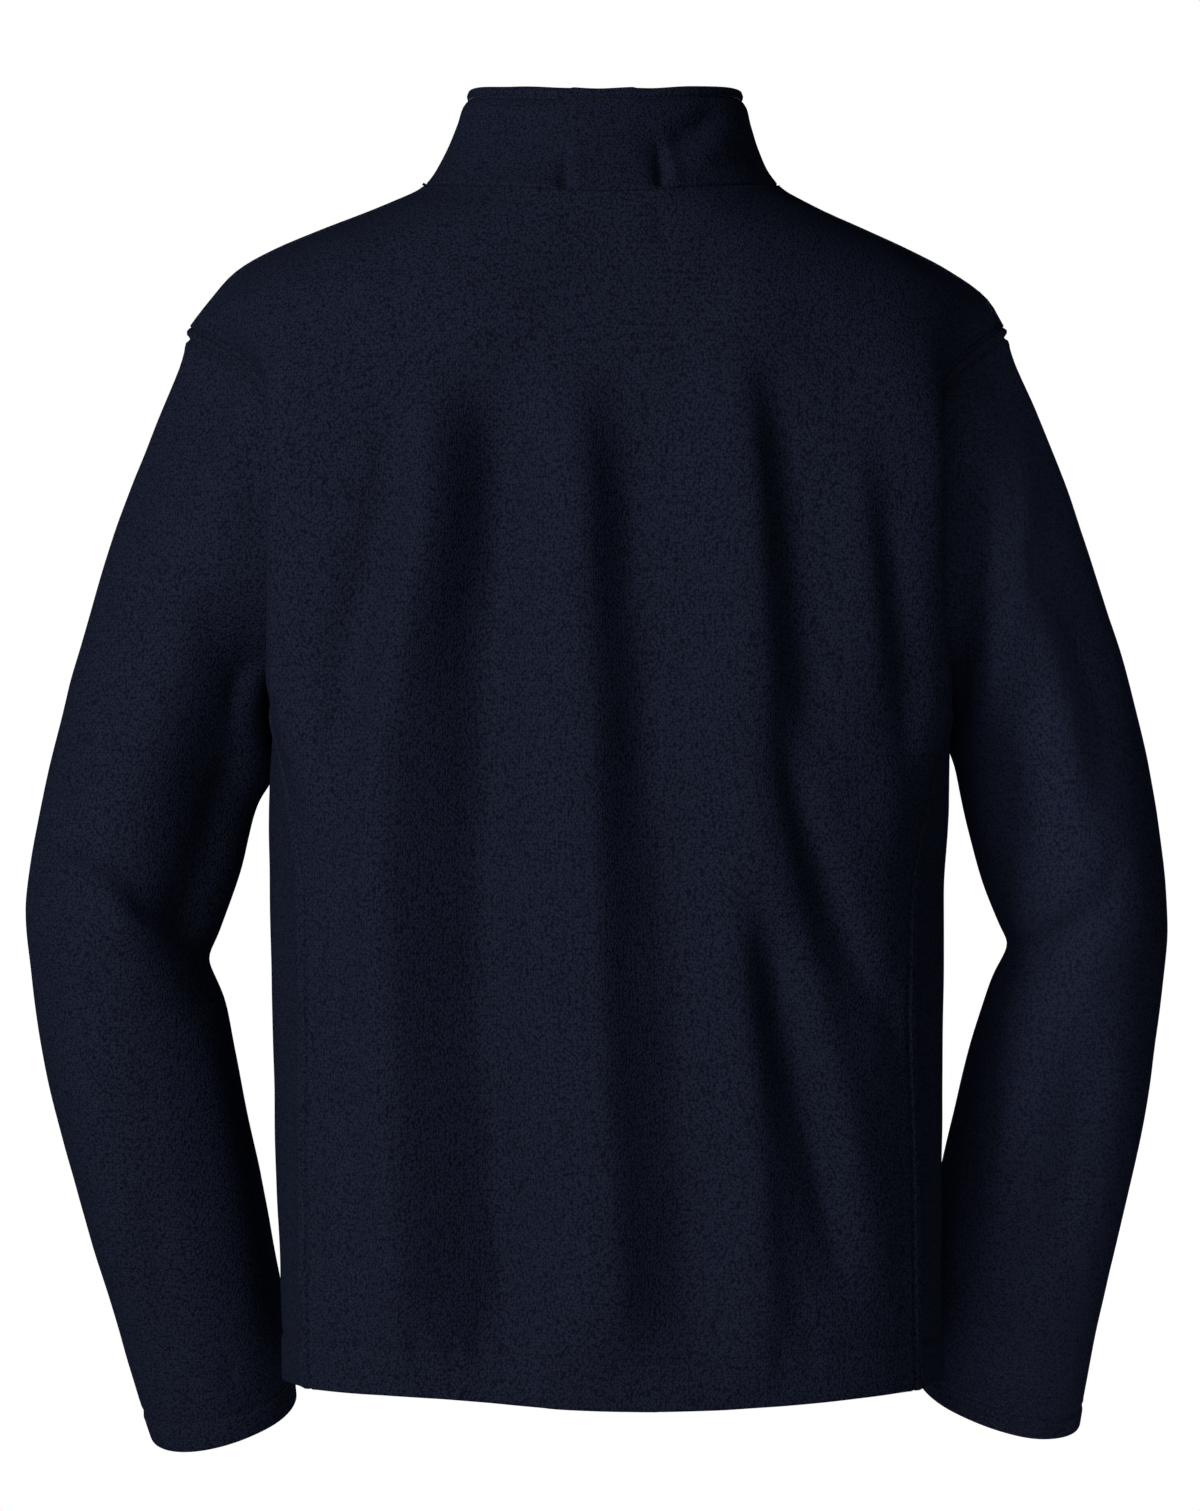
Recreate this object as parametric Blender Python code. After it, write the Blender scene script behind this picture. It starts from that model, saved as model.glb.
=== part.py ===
"""Men's fleece zip jacket, filled out as worn, with no wearer inside it.

The origin is the middle of the neck at the height of the neck ends of the shoulder seams. +Z is up,
the front faces -Y and the wearer's left is +X. Tables are in millimetres, and the meshes in metres.
Every cloth piece is a wall between an outer surface, through the sections of its table, and an inner
one. Heights are measured along the cloth, up from the hem.
"""

import math

import bpy
import numpy as np

MM = 0.001
WALL = 3.0  # brushed fleece
COLLAR_WALL = 5.0  # two layers
TURNED_WALL = 4.5  # the turned hem and cuffs, doubled
SEAM_GAP = 0.3
LONGEST_MITRE = 1.7  # how far a wall may grow along a sharp seam, in wall thicknesses

UNDERARM = 397  # height of the foot of the armhole
SHOULDER = 610  # height of its top
ZIP_HALF_GAP = 5.5  # from the middle to each front's edge
BESIDE_ZIP = 30.0  # nearer the middle than this, the turned edges are pressed flat under the zip
HEM_DEPTH = 27.0
CUFF_DEPTH = 15.0

# Heights of the rows of the body, which also set the points round each armhole.
ROWS_BELOW = (0, 13, 24, 27, 31, 62, 97, 132, 167, 202, 236, 266, 292, 314, 335, 357, 378)
ROWS_ARMHOLE = (397, 416, 436, 456, 476, 496, 515, 533, 550, 565, 579, 594)
ROWS_SHOULDER = (610, 632, 655, 678, 700)

# Points between the control columns of a row.
BACK_STEPS = (3, 4, 5)
FRONT_STEPS = (3, 3, 3, 4)

# The back, wearer's left half. Its edge is the side seam, then the armhole, then the shoulder seam.
# Its fold is where the cloth turns under beside the armhole, and its blade lies over the shoulder blade.
BACK = (
    # height, edge x, y, z, fold x, y, z, blade x, y, z, centre y, z
    (0, 166, 78, -677, 148, 98, -677, 86, 119, -679, 125, -685),
    (27, 167, 80, -650, 149, 100, -650, 87, 121, -652, 127, -658),
    (120, 168, 84, -557, 151, 104, -557, 90, 125, -559, 131, -565),
    (233, 168, 86, -444, 152, 105, -445, 92, 126, -446, 132, -450),
    (290, 170, 83, -388, 156, 104, -389, 94, 126, -390, 132, -393),
    (325, 175, 72, -352, 164, 101, -353, 96, 126, -355, 132, -357),
    (355, 182, 52, -322, 173, 95, -323, 98, 125, -325, 131, -327),
    (380, 187.5, 27, -298, 181, 88, -299, 100, 124, -301, 131, -302),
    (397, 182, 2, -283, 185, 85, -284, 101, 123, -285, 130, -286),
    (430, 174, 38, -262, 187, 89, -252, 102, 123, -254, 129, -256),
    (465, 171, 62, -225, 187.5, 94, -215, 104, 122, -222, 127, -224),
    (500, 171, 72, -185, 187.5, 97, -180, 106, 120, -187, 125, -191),
    (530, 174, 73, -150, 187.5, 97, -148, 108, 118, -155, 122, -160),
    (552, 181, 67, -126, 188, 93, -123, 109, 116, -131, 120, -137),
    (568, 192, 56, -110, 189, 87, -106, 110, 114, -113, 118, -119),
    (580, 203, 44, -101, 191, 80, -94, 111, 112, -99, 117, -105),
    (590, 214, 30, -93, 193, 74, -84, 111.5, 110, -88, 116, -94),
    (600, 226, 14, -86, 194, 67, -74, 112, 107, -77, 114, -84),
    (610, 235, 0, -80, 196, 58, -64, 112, 104, -66, 112, -74),
    (622, 224, -2, -65.5, 189, 55, -57, 107, 101.5, -59, 109.5, -66),
    (640, 208, -4, -48, 179, 51, -47.5, 99.5, 97.5, -48, 106, -54.5),
    (655, 188, -5.5, -36.5, 162, 49, -37, 90, 93.5, -37.5, 102.5, -44),
    (670, 161, -6.5, -25, 141, 47, -27.5, 79, 89.5, -27, 99, -33.5),
    (685, 131, -6.5, -13.5, 115, 45, -15.5, 67, 84.5, -17, 95.5, -22),
    (700, 100, -6, -0.5, 90, 42, -3, 54, 79, -7, 92, -10.5),
)

# The front, wearer's left, from its widest line at the side to its edge at the zip.
FRONT = (
    # height, side x, y, z, flank x, y, z, chest x, y, z, zip edge y, z
    (0, 182, 2, -679, 158, -76, -679, 88, -112, -681, -122, -684),
    (27, 182.5, 2, -652, 159, -78, -652, 89, -114, -654, -124, -657),
    (120, 186, 2, -559, 162, -81, -559, 91, -118, -561, -129, -564),
    (233, 189.3, 2, -446, 165, -83, -446, 92, -121, -448, -132, -450),
    (290, 190, 2, -390, 165, -84, -390, 92, -122, -391, -133, -393),
    (325, 190.5, 0, -354, 164, -84, -355, 92, -123, -356, -133, -357),
    (355, 189, -4, -324, 162, -85, -325, 91, -123, -326, -133, -327),
    (380, 186.5, -12, -299, 160, -86, -300, 90, -123, -301, -132, -302),
    (397, 179, -26, -284, 156, -88, -285, 89, -123, -286, -132, -286),
    (430, 165, -62, -258, 147, -92, -256, 87, -122, -255, -130, -255),
    (465, 157, -76, -226, 139, -95, -225, 84, -120, -223, -128, -222),
    (500, 155, -80, -190, 137, -96, -190, 82, -118, -190, -125, -190),
    (530, 160, -76, -157, 141, -91, -158, 83, -115, -160, -122, -163),
    (552, 171, -66, -132, 150, -82, -135, 84, -111, -142, -119, -148),
    (568, 182, -57, -115, 157, -75, -120, 85, -108, -130, -116, -137),
    (580, 192, -48, -105, 163, -69, -110, 85, -105, -122, -113, -129),
    (590, 201, -40, -97, 167, -64, -102, 85, -102, -115, -111, -123),
    (600, 209, -32, -89, 170, -59, -95, 85, -99, -109, -108, -117),
    (610, 216, -26, -81, 172, -55, -87, 84, -96, -103, -106, -112),
    (640, 190, -30, -52, 148, -56, -63, 75, -91, -84, -100, -98),
    (670, 147, -33, -31, 116, -57, -44, 62, -85, -68, -94, -85),
    (700, 96, -30, -8, 82, -54, -25, 48, -78, -51, -88, -72),
)

# The armhole on the front's side, from the underarm to the shoulder point.
ARMHOLE_FRONT = (
    # height, x, y, z
    (397, 182, 2, -283),
    (430, 174, -38, -262),
    (465, 168, -58, -228),
    (500, 166, -64, -190),
    (530, 170, -62, -155),
    (552, 180, -54, -130),
    (568, 192, -44, -113),
    (580, 204, -33, -102),
    (590, 215, -22, -94),
    (600, 226, -10, -86),
    (610, 235, 0, -80),
)

# How much wider the right half hangs than the left, at its widest line, and how much lower at its blade.
RIGHT_HALF = (
    # height, extra x, drop
    (0, 12, 5),
    (27, 10.5, 4.5),
    (120, 7.5, 1),
    (233, 5, 0),
    (290, 5.5, 0),
    (340, 7.5, 0),
    (380, 9, 0),
    (397, 7, 0),
    (440, 3, 0),
    (530, 2, 0),
    (580, -2, 0),
    (610, -5.6, 0),
    (622, -3.8, 0),
    (640, -10.7, 0),
    (655, -13.6, 0),
    (670, -13.3, 0),
    (685, -10.3, 0),
    (700, -3, 0),
)

# The collar's top edge, over the same columns as the neck seam, wearer's left half.
COLLAR_TOP = (
    # column, x, y, z
    ("zip edge", 5.5, -75, 5),
    ("chest", 36, -67.5, 20),
    ("flank", 59, -52, 38),
    ("side", 71.5, -35, 50),
    ("shoulder", 75.5, -18, 56),
    ("fold", 72.5, 8, 57),
    ("blade", 49.5, 37, 55),
    ("centre", 0, 52, 51.5),
)
# Rows of the collar from seam to top edge: share of its height, how far it stands out.
COLLAR_ROWS = ((0.0, 0.0), (0.2, -1.2), (0.42, -1.8), (0.66, -1.2), (0.86, -0.3), (0.9, -1.2), (0.94, 0.3), (1.0, -1.2))

# Each sleeve: its outer and inner lines, the middle's y, half its depth front to back, and how far it
# still follows the armhole's own curve. The first row is the armhole itself.
SLEEVE_LEFT = (
    # station, outer x, z, inner x, z, centre y, half depth, follow
    (0, 235, -80, 182, -283, 1, 72, 1.0),
    (18, 245, -104, 187.5, -283.5, 0, 69, 0.8),
    (40, 258, -136, 191, -288, -4, 67, 0.55),
    (65, 271.5, -171, 191.5, -296, -10, 66, 0.32),
    (92, 284, -206, 189.5, -307, -16, 66, 0.15),
    (120, 294, -240, 187.5, -321, -22, 66, 0.05),
    (150, 304, -276, 189.5, -337, -26, 66, 0),
    (182, 312.5, -310, 198, -352, -28, 65, 0),
    (213, 321, -344, 203.5, -370, -27, 64, 0),
    (240, 326.5, -373, 209, -393, -25, 63, 0),
    (262, 329.5, -395, 215, -411, -23, 62, 0),
    (280, 331, -412, 221, -428, -22, 61, 0),
    (295, 330.5, -428, 226.5, -440, -22, 60, 0),
    (310, 328.5, -446, 222.5, -451, -24, 60, 0),
    (330, 326.5, -468, 217, -465, -27, 59, 0),
    (360, 321.5, -502, 212, -493, -33, 58, 0),
    (395, 313, -540, 205, -530, -41, 57, 0),
    (435, 301, -587, 197.5, -568, -51, 55, 0),
    (475, 289.5, -629, 191, -606, -62, 53, 0),
    (515, 278, -671, 184.5, -646, -74, 50, 0),
    (545, 269.5, -701, 181, -680, -84, 47.5, 0),
    (565, 263, -722, 180, -700, -90, 46, 0),
)
SLEEVE_RIGHT = (
    # station, outer x, z, inner x, z, centre y, half depth, follow
    (0, 227, -80, 188.7, -283, 1, 72, 1.0),
    (18, 237, -101, 194, -283.5, 0, 69, 0.8),
    (40, 250.5, -131, 199, -288, -4, 67, 0.55),
    (65, 264.5, -167, 200, -296, -10, 66, 0.32),
    (92, 277, -203, 199, -306, -16, 66, 0.15),
    (120, 288.5, -237, 198, -318, -22, 66, 0.05),
    (150, 299.5, -273, 202, -331, -26, 66, 0),
    (182, 309, -308, 205.5, -347, -28, 65, 0),
    (213, 316.5, -345, 209.5, -366, -27, 64, 0),
    (240, 320.5, -373, 215.5, -388, -25, 63, 0),
    (262, 323, -395, 221.5, -406, -23, 62, 0),
    (280, 323.8, -412, 228, -423, -22, 61, 0),
    (295, 323.8, -428, 232.5, -433, -22, 60, 0),
    (310, 322.4, -446, 225.5, -447, -24, 60, 0),
    (330, 320.5, -467, 220, -462, -27, 59, 0),
    (360, 315.5, -508, 209.5, -497, -34, 57, 0),
    (395, 309.5, -546, 201, -533, -44, 55, 0),
    (435, 302, -587, 192.5, -575, -57, 53, 0),
    (475, 294, -628, 186.5, -613, -71, 50, 0),
    (515, 286.5, -668, 183, -648, -86, 46, 0),
    (545, 281.5, -700, 183.5, -674, -98, 43, 0),
    (565, 279.5, -716, 185, -690, -104, 41, 0),
)
SLEEVE_STATIONS = (
    (0, 9, 20, 34, 50, 68, 88, 110, 134, 158, 182, 206, 229, 250, 268, 282, 293, 302, 314, 335)
    + (362, 392, 424, 456, 488, 520, 546, 549, 552, 565)
)

# The largest folds, each a stroke from its top through its middle to its foot. Facing is 1 on the
# side seen from behind and -1 on the side seen from the front. Height is up from the cloth, so a
# trough's is negative.
FOLDS = {
    "back_panel": (
        # facing, top x, z, middle x, z, foot x, z, half width, height
        (1, 116, -120, 125, -215, 150, -340, 17, 7),
        (1, 150, -335, 168, -395, 160, -520, 15, 5),
        (1, 130, -165, 146, -235, 164, -345, 13, -5),
        (1, 62, -90, 82, -235, 95, -350, 20, -9),
        (1, 95, -350, 86, -470, 66, -655, 17, -7),
        (1, 36, -70, 34, -330, 18, -660, 20, 6),
        (1, 12, -95, -10, -330, -46, -640, 15, -6),
        (1, -34, -120, -82, -330, -148, -590, 20, 8),
        (1, -88, -110, -108, -320, -165, -500, 15, -10),
        (1, -112, -150, -124, -240, -140, -290, 18, 4),
        (1, -160, -225, -164, -290, -174, -350, 12, -6),
        (1, -90, -470, -112, -560, -140, -625, 14, -5),
        (1, -124, -520, -138, -570, -146, -610, 12, 4),
    ),
    "front_left": (
        (-1, 120, -120, 108, -240, 128, -380, 18, 7),
        (-1, 84, -110, 72, -260, 92, -430, 17, -7),
        (-1, 44, -140, 42, -360, 34, -640, 18, 4),
        (-1, 146, -330, 136, -450, 120, -640, 18, 5),
    ),
    "front_right": (
        (-1, -124, -130, -112, -260, -126, -400, 18, 7),
        (-1, -86, -120, -76, -280, -98, -460, 17, -7),
        (-1, -46, -150, -44, -380, -40, -650, 18, 4),
        (-1, -152, -350, -146, -470, -130, -650, 18, 5),
    ),
    "sleeve_left": (
        (1, 246, -110, 236, -190, 236, -300, 16, 5),
        (1, 222, -160, 212, -240, 214, -330, 12, -5),
        (1, 292, -395, 270, -418, 226, -428, 9, -7),
        (1, 300, -372, 280, -395, 240, -408, 12, 6),
        (1, 290, -446, 260, -446, 228, -446, 9, -4),
        (1, 296, -440, 284, -560, 262, -680, 20, 4),
        (-1, 250, -120, 242, -200, 244, -310, 18, 5),
        (-1, 300, -430, 268, -436, 232, -440, 10, -6),
        (-1, 300, -404, 270, -412, 238, -416, 12, 5),
    ),
    "sleeve_right": (
        (1, -236, -120, -228, -200, -236, -320, 16, 5),
        (1, -210, -170, -206, -250, -212, -330, 12, -5),
        (1, -262, -260, -276, -340, -270, -398, 14, 6),
        (1, -274, -398, -252, -412, -232, -430, 10, 7),
        (1, -290, -405, -270, -425, -240, -446, 9, -7),
        (1, -232, -450, -226, -560, -216, -660, 16, 5),
        (-1, -246, -120, -238, -200, -242, -310, 18, 5),
        (-1, -300, -430, -268, -436, -236, -438, 10, -6),
        (-1, -296, -404, -270, -412, -242, -414, 12, 5),
    ),
}
FOLD_ENDS = 0.16  # share of a stroke over which each end fades

TAPE_OUTER = -3.8  # the tape's face, from the fronts' outer surface
TAPE_THICKNESS = 1.0
TAPE_REACH = 13.0
COIL_OUTER = -2.4
COIL_INNER = -4.9
COIL_WIDTH = 3.0
SLIDER_BELOW_TOP = 14.0
OPEN_COIL = 1.3  # how far each coil stands aside above the slider


def spline(knots, points, at):
    """Points at parameters `at` of the smooth curve that passes through `points` at `knots`."""
    knots = np.asarray(knots, float)
    points = np.asarray(points, float)
    at = np.asarray(at, float)
    step = np.diff(knots)
    slope = np.diff(points, axis=0) / step[:, None]
    tangent = np.empty_like(points)
    tangent[0] = slope[0]
    tangent[-1] = slope[-1]
    share = (step[1:] / (step[:-1] + step[1:]))[:, None]
    tangent[1:-1] = slope[:-1] * share + slope[1:] * (1 - share)
    k = np.clip(np.searchsorted(knots, at, side="right") - 1, 0, len(step) - 1)
    t = ((at - knots[k]) / step[k])[:, None]
    h = step[k][:, None]
    start = (2 * t**3 - 3 * t**2 + 1) * points[k] + (t**3 - 2 * t**2 + t) * h * tangent[k]
    end = (3 * t**2 - 2 * t**3) * points[k + 1] + (t**3 - t**2) * h * tangent[k + 1]
    return start + end


def unit(vectors):
    return vectors / np.maximum(np.linalg.norm(vectors, axis=-1, keepdims=True), 1e-9)


def smooth(share):
    share = np.clip(share, 0, 1)
    return share * share * (3 - 2 * share)


def across(controls, steps, mirror_end=False):
    """One row: the curve through its control points, with `steps` points in each span. With mirror_end
    it meets the middle plane squarely, as a front's edge does."""
    controls = np.asarray(controls, float)
    if mirror_end:
        ghost = controls[-2] * (-1, 1, 1) + (2 * controls[-1][0], 0, 0)
        controls = np.vstack([controls, ghost])
    lengths = np.linalg.norm(np.diff(controls, axis=0), axis=1)
    knots = np.concatenate([[0], np.cumsum(lengths)])
    at = [knots[0]]
    for k, count in enumerate(steps):
        at.extend(knots[k] + (knots[k + 1] - knots[k]) * (i + 1) / count for i in range(count))
    return spline(knots, controls, at)


def line(table, columns, heights):
    """The curve through the named columns of a table, at the given heights."""
    table = np.asarray(table, float)
    return spline(table[:, 0], table[:, columns], heights)


def edge_line(heights, front):
    """The edge of a left panel: side seam, armhole and shoulder seam, with corners between them."""
    table = np.asarray([row[:4] for row in BACK], float)
    armhole = np.asarray(ARMHOLE_FRONT, float) if front else table
    points = []
    for height in heights:
        if height <= UNDERARM:
            part = table[table[:, 0] <= UNDERARM]
        elif height < SHOULDER:
            part = armhole[(armhole[:, 0] >= UNDERARM) & (armhole[:, 0] <= SHOULDER)]
        else:
            part = table[table[:, 0] >= SHOULDER]
        points.append(spline(part[:, 0], part[:, 1:], [height])[0])
    return np.array(points)


def to_right(points, heights):
    """The left half's points moved to the right half, which hangs a little wider and lower."""
    extra, drop = line(RIGHT_HALF, [1, 2], heights).T
    far = points[..., 0]
    reach = np.clip((far - ZIP_HALF_GAP) / (190 - ZIP_HALF_GAP), 0, None)
    sag = smooth(far / 60) * np.clip(1.6 * (1 - far / 185), 0, 1)
    level = (slice(None),) + (None,) * (far.ndim - 1)
    moved = points.copy()
    moved[..., 0] = -(far + extra[level] * reach)
    moved[..., 2] -= drop[level] * sag
    return moved


def back_controls(heights):
    centre = line(BACK, [10, 11], heights)
    centre = np.column_stack([np.zeros(len(centre)), centre])
    columns = [edge_line(heights, False), line(BACK, [4, 5, 6], heights), line(BACK, [7, 8, 9], heights)]
    left = np.stack(columns, axis=1)
    right = to_right(left, heights)
    return np.concatenate([left, centre[:, None], right[:, ::-1]], axis=1)


def front_controls(heights):
    zip_edge = line(FRONT, [10, 11], heights)
    zip_edge = np.column_stack([np.full(len(zip_edge), ZIP_HALF_GAP), zip_edge])
    columns = [edge_line(heights, True)]
    columns += [line(FRONT, [k, k + 1, k + 2], heights) for k in (1, 4, 7)]
    return np.stack(columns + [zip_edge], axis=1)


def back_grid(heights, steps):
    counts = tuple(steps) + tuple(steps)[::-1]
    return np.array([across(row, counts) for row in back_controls(heights)])


def front_grid(heights, steps, right):
    controls = front_controls(heights)
    if right:
        controls = to_right(controls, heights)
    rows = np.array([across(row, steps, mirror_end=True) for row in controls])
    return rows if right else rows[:, ::-1]


def collar_grid(base, rows, back_steps, front_steps):
    """Rows from the neck seam `base` to the top edge, over the same points."""
    left = np.array([row[1:] for row in COLLAR_TOP], float)
    front = across(left[4::-1], front_steps, mirror_end=True)[::-1]
    back = across(left[4:], back_steps)
    half = np.concatenate([front, back[1:]])
    right = half[:-1] * (-1, 1, 1)
    reach = np.clip((np.abs(right[:, 0]) - ZIP_HALF_GAP) / 70, 0, 1)
    right[:, 0] -= 3 * reach
    top = np.concatenate([half, right[::-1]])
    share = np.array([row[0] for row in rows])[:, None, None]
    return base[None] * (1 - share) + top[None] * share


def sleeve_grid(armhole, table, stations, side):
    """Rings from the armhole to the cuff. `armhole` runs from the underarm up the back and down the front."""
    table = np.asarray(table, float)
    rings = spline(table[:, 0], table[:, 1:], stations)
    loop = np.vstack([armhole, armhole[:1]])
    walk = np.concatenate([[0], np.cumsum(np.linalg.norm(np.diff(loop, axis=0), axis=1))])
    top = len(armhole) // 2
    angle = np.where(
        np.arange(len(armhole)) <= top,
        math.pi - math.pi * walk[:-1] / walk[top],
        -math.pi * (walk[:-1] - walk[top]) / (walk[-1] - walk[top]),
    )
    middle = np.column_stack([side * (rings[:, 0] + rings[:, 2]) / 2, rings[:, 4], (rings[:, 1] + rings[:, 3]) / 2])
    half = np.column_stack([side * (rings[:, 0] - rings[:, 2]) / 2, np.zeros(len(rings)), (rings[:, 1] - rings[:, 3]) / 2])
    along = unit(np.gradient(middle, np.asarray(stations, float), axis=0))
    depth = unit(np.array([0, 1, 0]) - along[:, 1:2] * along) * rings[:, 5:6]
    ellipse = middle[:, None] + half[:, None] * np.cos(angle)[None, :, None] + depth[:, None] * np.sin(angle)[None, :, None]
    return ellipse + rings[:, 6][:, None, None] * (armhole - ellipse[0])[None]


def normals(grid, closed, sign):
    if closed:
        wide = np.concatenate([grid[:, -1:], grid, grid[:, :1]], axis=1)
        du = wide[:, 2:] - wide[:, :-2]
    else:
        du = np.gradient(grid, axis=1)
    return unit(np.cross(du, np.gradient(grid, axis=0))) * sign


def stroke_points(row):
    _, x0, z0, x1, z1, x2, z2 = row[:7]
    t = np.linspace(0, 1, 25)
    control = (2 * x1 - (x0 + x2) / 2, 2 * z1 - (z0 + z2) / 2)
    x = (1 - t) ** 2 * x0 + 2 * t * (1 - t) * control[0] + t**2 * x2
    z = (1 - t) ** 2 * z0 + 2 * t * (1 - t) * control[1] + t**2 * z2
    return t, x, z


def relief(grid, facing, rows):
    """How far each point of a grid stands out, from the folds that cross it."""
    out = np.zeros(grid.shape[:2])
    for row in rows:
        width, height = row[7:]
        t, x, z = stroke_points(row)
        gap = np.hypot(grid[..., 0, None] - x, grid[..., 2, None] - z)
        near = gap.argmin(axis=-1)
        ends = smooth(np.minimum(t, 1 - t) / FOLD_ENDS)[near]
        shape = np.exp(-((gap.min(axis=-1) / width) ** 2))
        out += height * shape * ends * smooth(facing * row[0] * 1.6)
    return out


def seam_fade(grid, seams, closed):
    """0 on a piece's seams, and 1 from 22 mm inside them, so that pieces still meet."""
    fade = np.ones(grid.shape[:2])
    along = np.linalg.norm(np.diff(grid, axis=1), axis=2)
    up = np.linalg.norm(np.diff(grid, axis=0), axis=2)
    row = np.concatenate([np.zeros((len(grid), 1)), np.cumsum(along, axis=1)], axis=1)
    column = np.concatenate([np.zeros((1, grid.shape[1])), np.cumsum(up, axis=0)])
    distances = {
        "first column": row,
        "last column": row[:, -1:] - row,
        "first row": column,
        "last row": column[-1:] - column,
    }
    for name in seams:
        if not (closed and "column" in name):
            fade = fade * smooth(distances[name] / 22)
    return fade


class Piece:
    """A cloth piece: a grid of outer points, its wall, and the borders along which it is sewn."""

    def __init__(self, name, grid, sign=1, closed=False):
        self.name = name
        self.grid = grid
        self.sign = sign
        self.closed = closed
        self.wall = np.full(grid.shape[:2], WALL)
        self.runs = []
        self.seams = []

    def normals(self):
        return normals(self.grid, self.closed, self.sign)

    def sew(self, border, breaks=()):
        """Marks a border as sewn. `breaks` are the corners where the seam turns."""
        rows, columns = self.grid.shape[:2]
        if "column" in border:
            column = 0 if border == "first column" else columns - 1
            inward = 1 if column == 0 else -1
            cells = [((r, column), (r, column + inward)) for r in range(rows)]
        else:
            row = 0 if border == "first row" else rows - 1
            inward = 1 if row == 0 else -1
            cells = [((row, c), (row + inward, c)) for c in range(columns)]
            if self.closed:
                cells.append(cells[0])
        stops = [0, *breaks, len(cells) - 1]
        self.runs += [cells[a : b + 1] for a, b in zip(stops, stops[1:])]
        self.seams.append(border)

    def fold(self):
        rows = FOLDS.get(self.name, ())
        normal = self.normals()
        out = relief(self.grid, normal[..., 1], rows)
        out *= seam_fade(self.grid, self.seams, self.closed)
        self.grid = self.grid + normal * out[..., None]

    def raise_by(self, out):
        self.grid = self.grid + self.normals() * out[..., None]


def key_of(point):
    return tuple(np.round(point, 3))


def walls(pieces):
    """For each piece, its outer and inner points, with each seam's wall shared by the pieces that meet."""
    own = {piece.name: piece.normals() for piece in pieces}
    meeting = {}
    for piece in pieces:
        for run in piece.runs:
            for cell, _ in run:
                found = meeting.setdefault(key_of(piece.grid[cell]), {})
                # At a corner a sleeve or the collar faces two panels, so it counts for both.
                twice = piece.name in found and piece.seams[0] == "first row"
                found[piece.name] = own[piece.name][cell] * (2 if twice else 1)
    shared = {key: unit(sum(found.values())) for key, found in meeting.items()}
    slants = {
        key: max(min(float(unit(each) @ shared[key]) for each in found.values()), 1 / LONGEST_MITRE)
        for key, found in meeting.items()
    }
    made = {}
    for piece in pieces:
        normal = own[piece.name].copy()
        length = piece.wall.copy()
        away = {}
        for run in piece.runs:
            points = np.array([piece.grid[cell] for cell, _ in run])
            along = unit(np.gradient(points, axis=0))
            for i, (cell, inner) in enumerate(run):
                key = key_of(piece.grid[cell])
                meet = shared[key]
                normal[cell] = meet
                length[cell] = piece.wall[cell] / slants[key]
                side = unit(np.cross(along[i], meet))
                inward = piece.grid[inner] - piece.grid[cell]
                away.setdefault(cell, []).append(side if side @ inward > 0 else -side)
        shift = np.zeros_like(piece.grid)
        for cell, sides in away.items():
            total = np.sum(sides, axis=0)
            sharpness = max((1 + float(sides[0] @ sides[-1])) if len(sides) > 1 else 1.0, 0.5)
            shift[cell] = total / sharpness * SEAM_GAP / 2
        outer = piece.grid + shift
        made[piece.name] = (outer, outer - normal * length[..., None])
    return made


def add_object(name, points, faces):
    mesh = bpy.data.meshes.new(name)
    mesh.from_pydata([tuple(p) for p in np.asarray(points) * MM], [], faces)
    mesh.validate()
    mesh.update()
    made = bpy.data.objects.new(name, mesh)
    bpy.context.scene.collection.objects.link(made)
    return made


def add_cloth(piece, outer, inner):
    """The closed wall between a piece's outer and inner grids, in triangles."""
    rows, columns = outer.shape[:2]
    count = rows * columns
    flat = piece.grid.reshape(-1, 3)
    wide = columns if piece.closed else columns - 1
    faces = []

    def quad(a, b, c, d):
        if piece.sign < 0:
            a, b, c, d = b, a, d, c
        faces.append((a, b, c))
        faces.append((a, c, d))

    def edge(a, b):
        """The wall under the edge from a to b, its diagonal on the same side as the next piece's."""
        if piece.sign < 0:
            a, b = b, a
        if key_of(flat[a]) < key_of(flat[b]):
            faces.append((a, b, b + count))
            faces.append((a, b + count, a + count))
        else:
            faces.append((a, b, a + count))
            faces.append((b, b + count, a + count))

    def at(r, c):
        return r * columns + c % columns

    for r in range(rows - 1):
        for c in range(wide):
            a, b, d, e = at(r, c), at(r, c + 1), at(r + 1, c + 1), at(r + 1, c)
            quad(a, b, d, e)
            quad(b + count, a + count, e + count, d + count)
    for c in range(wide):
        edge(at(0, c + 1), at(0, c))
        edge(at(rows - 1, c), at(rows - 1, c + 1))
    if not piece.closed:
        for r in range(rows - 1):
            edge(at(r, 0), at(r + 1, 0))
            edge(at(r + 1, columns - 1), at(r, columns - 1))
    points = np.concatenate([outer.reshape(-1, 3), inner.reshape(-1, 3)])
    return add_object(piece.name, points, faces)


def hem_relief(distance, depth):
    """The turned edge stands out a little, with the line of its stitching pressed in."""
    return np.where(distance < depth - 1, 0.7, 0.0) - 0.8 * (np.abs(distance - depth) < 0.5)


def clear_of_zip(grid):
    """0 at the zip, where turned edges are pressed flat, and 1 away from it."""
    return smooth((np.abs(grid[..., 0]) - 14) / 16)


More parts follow.
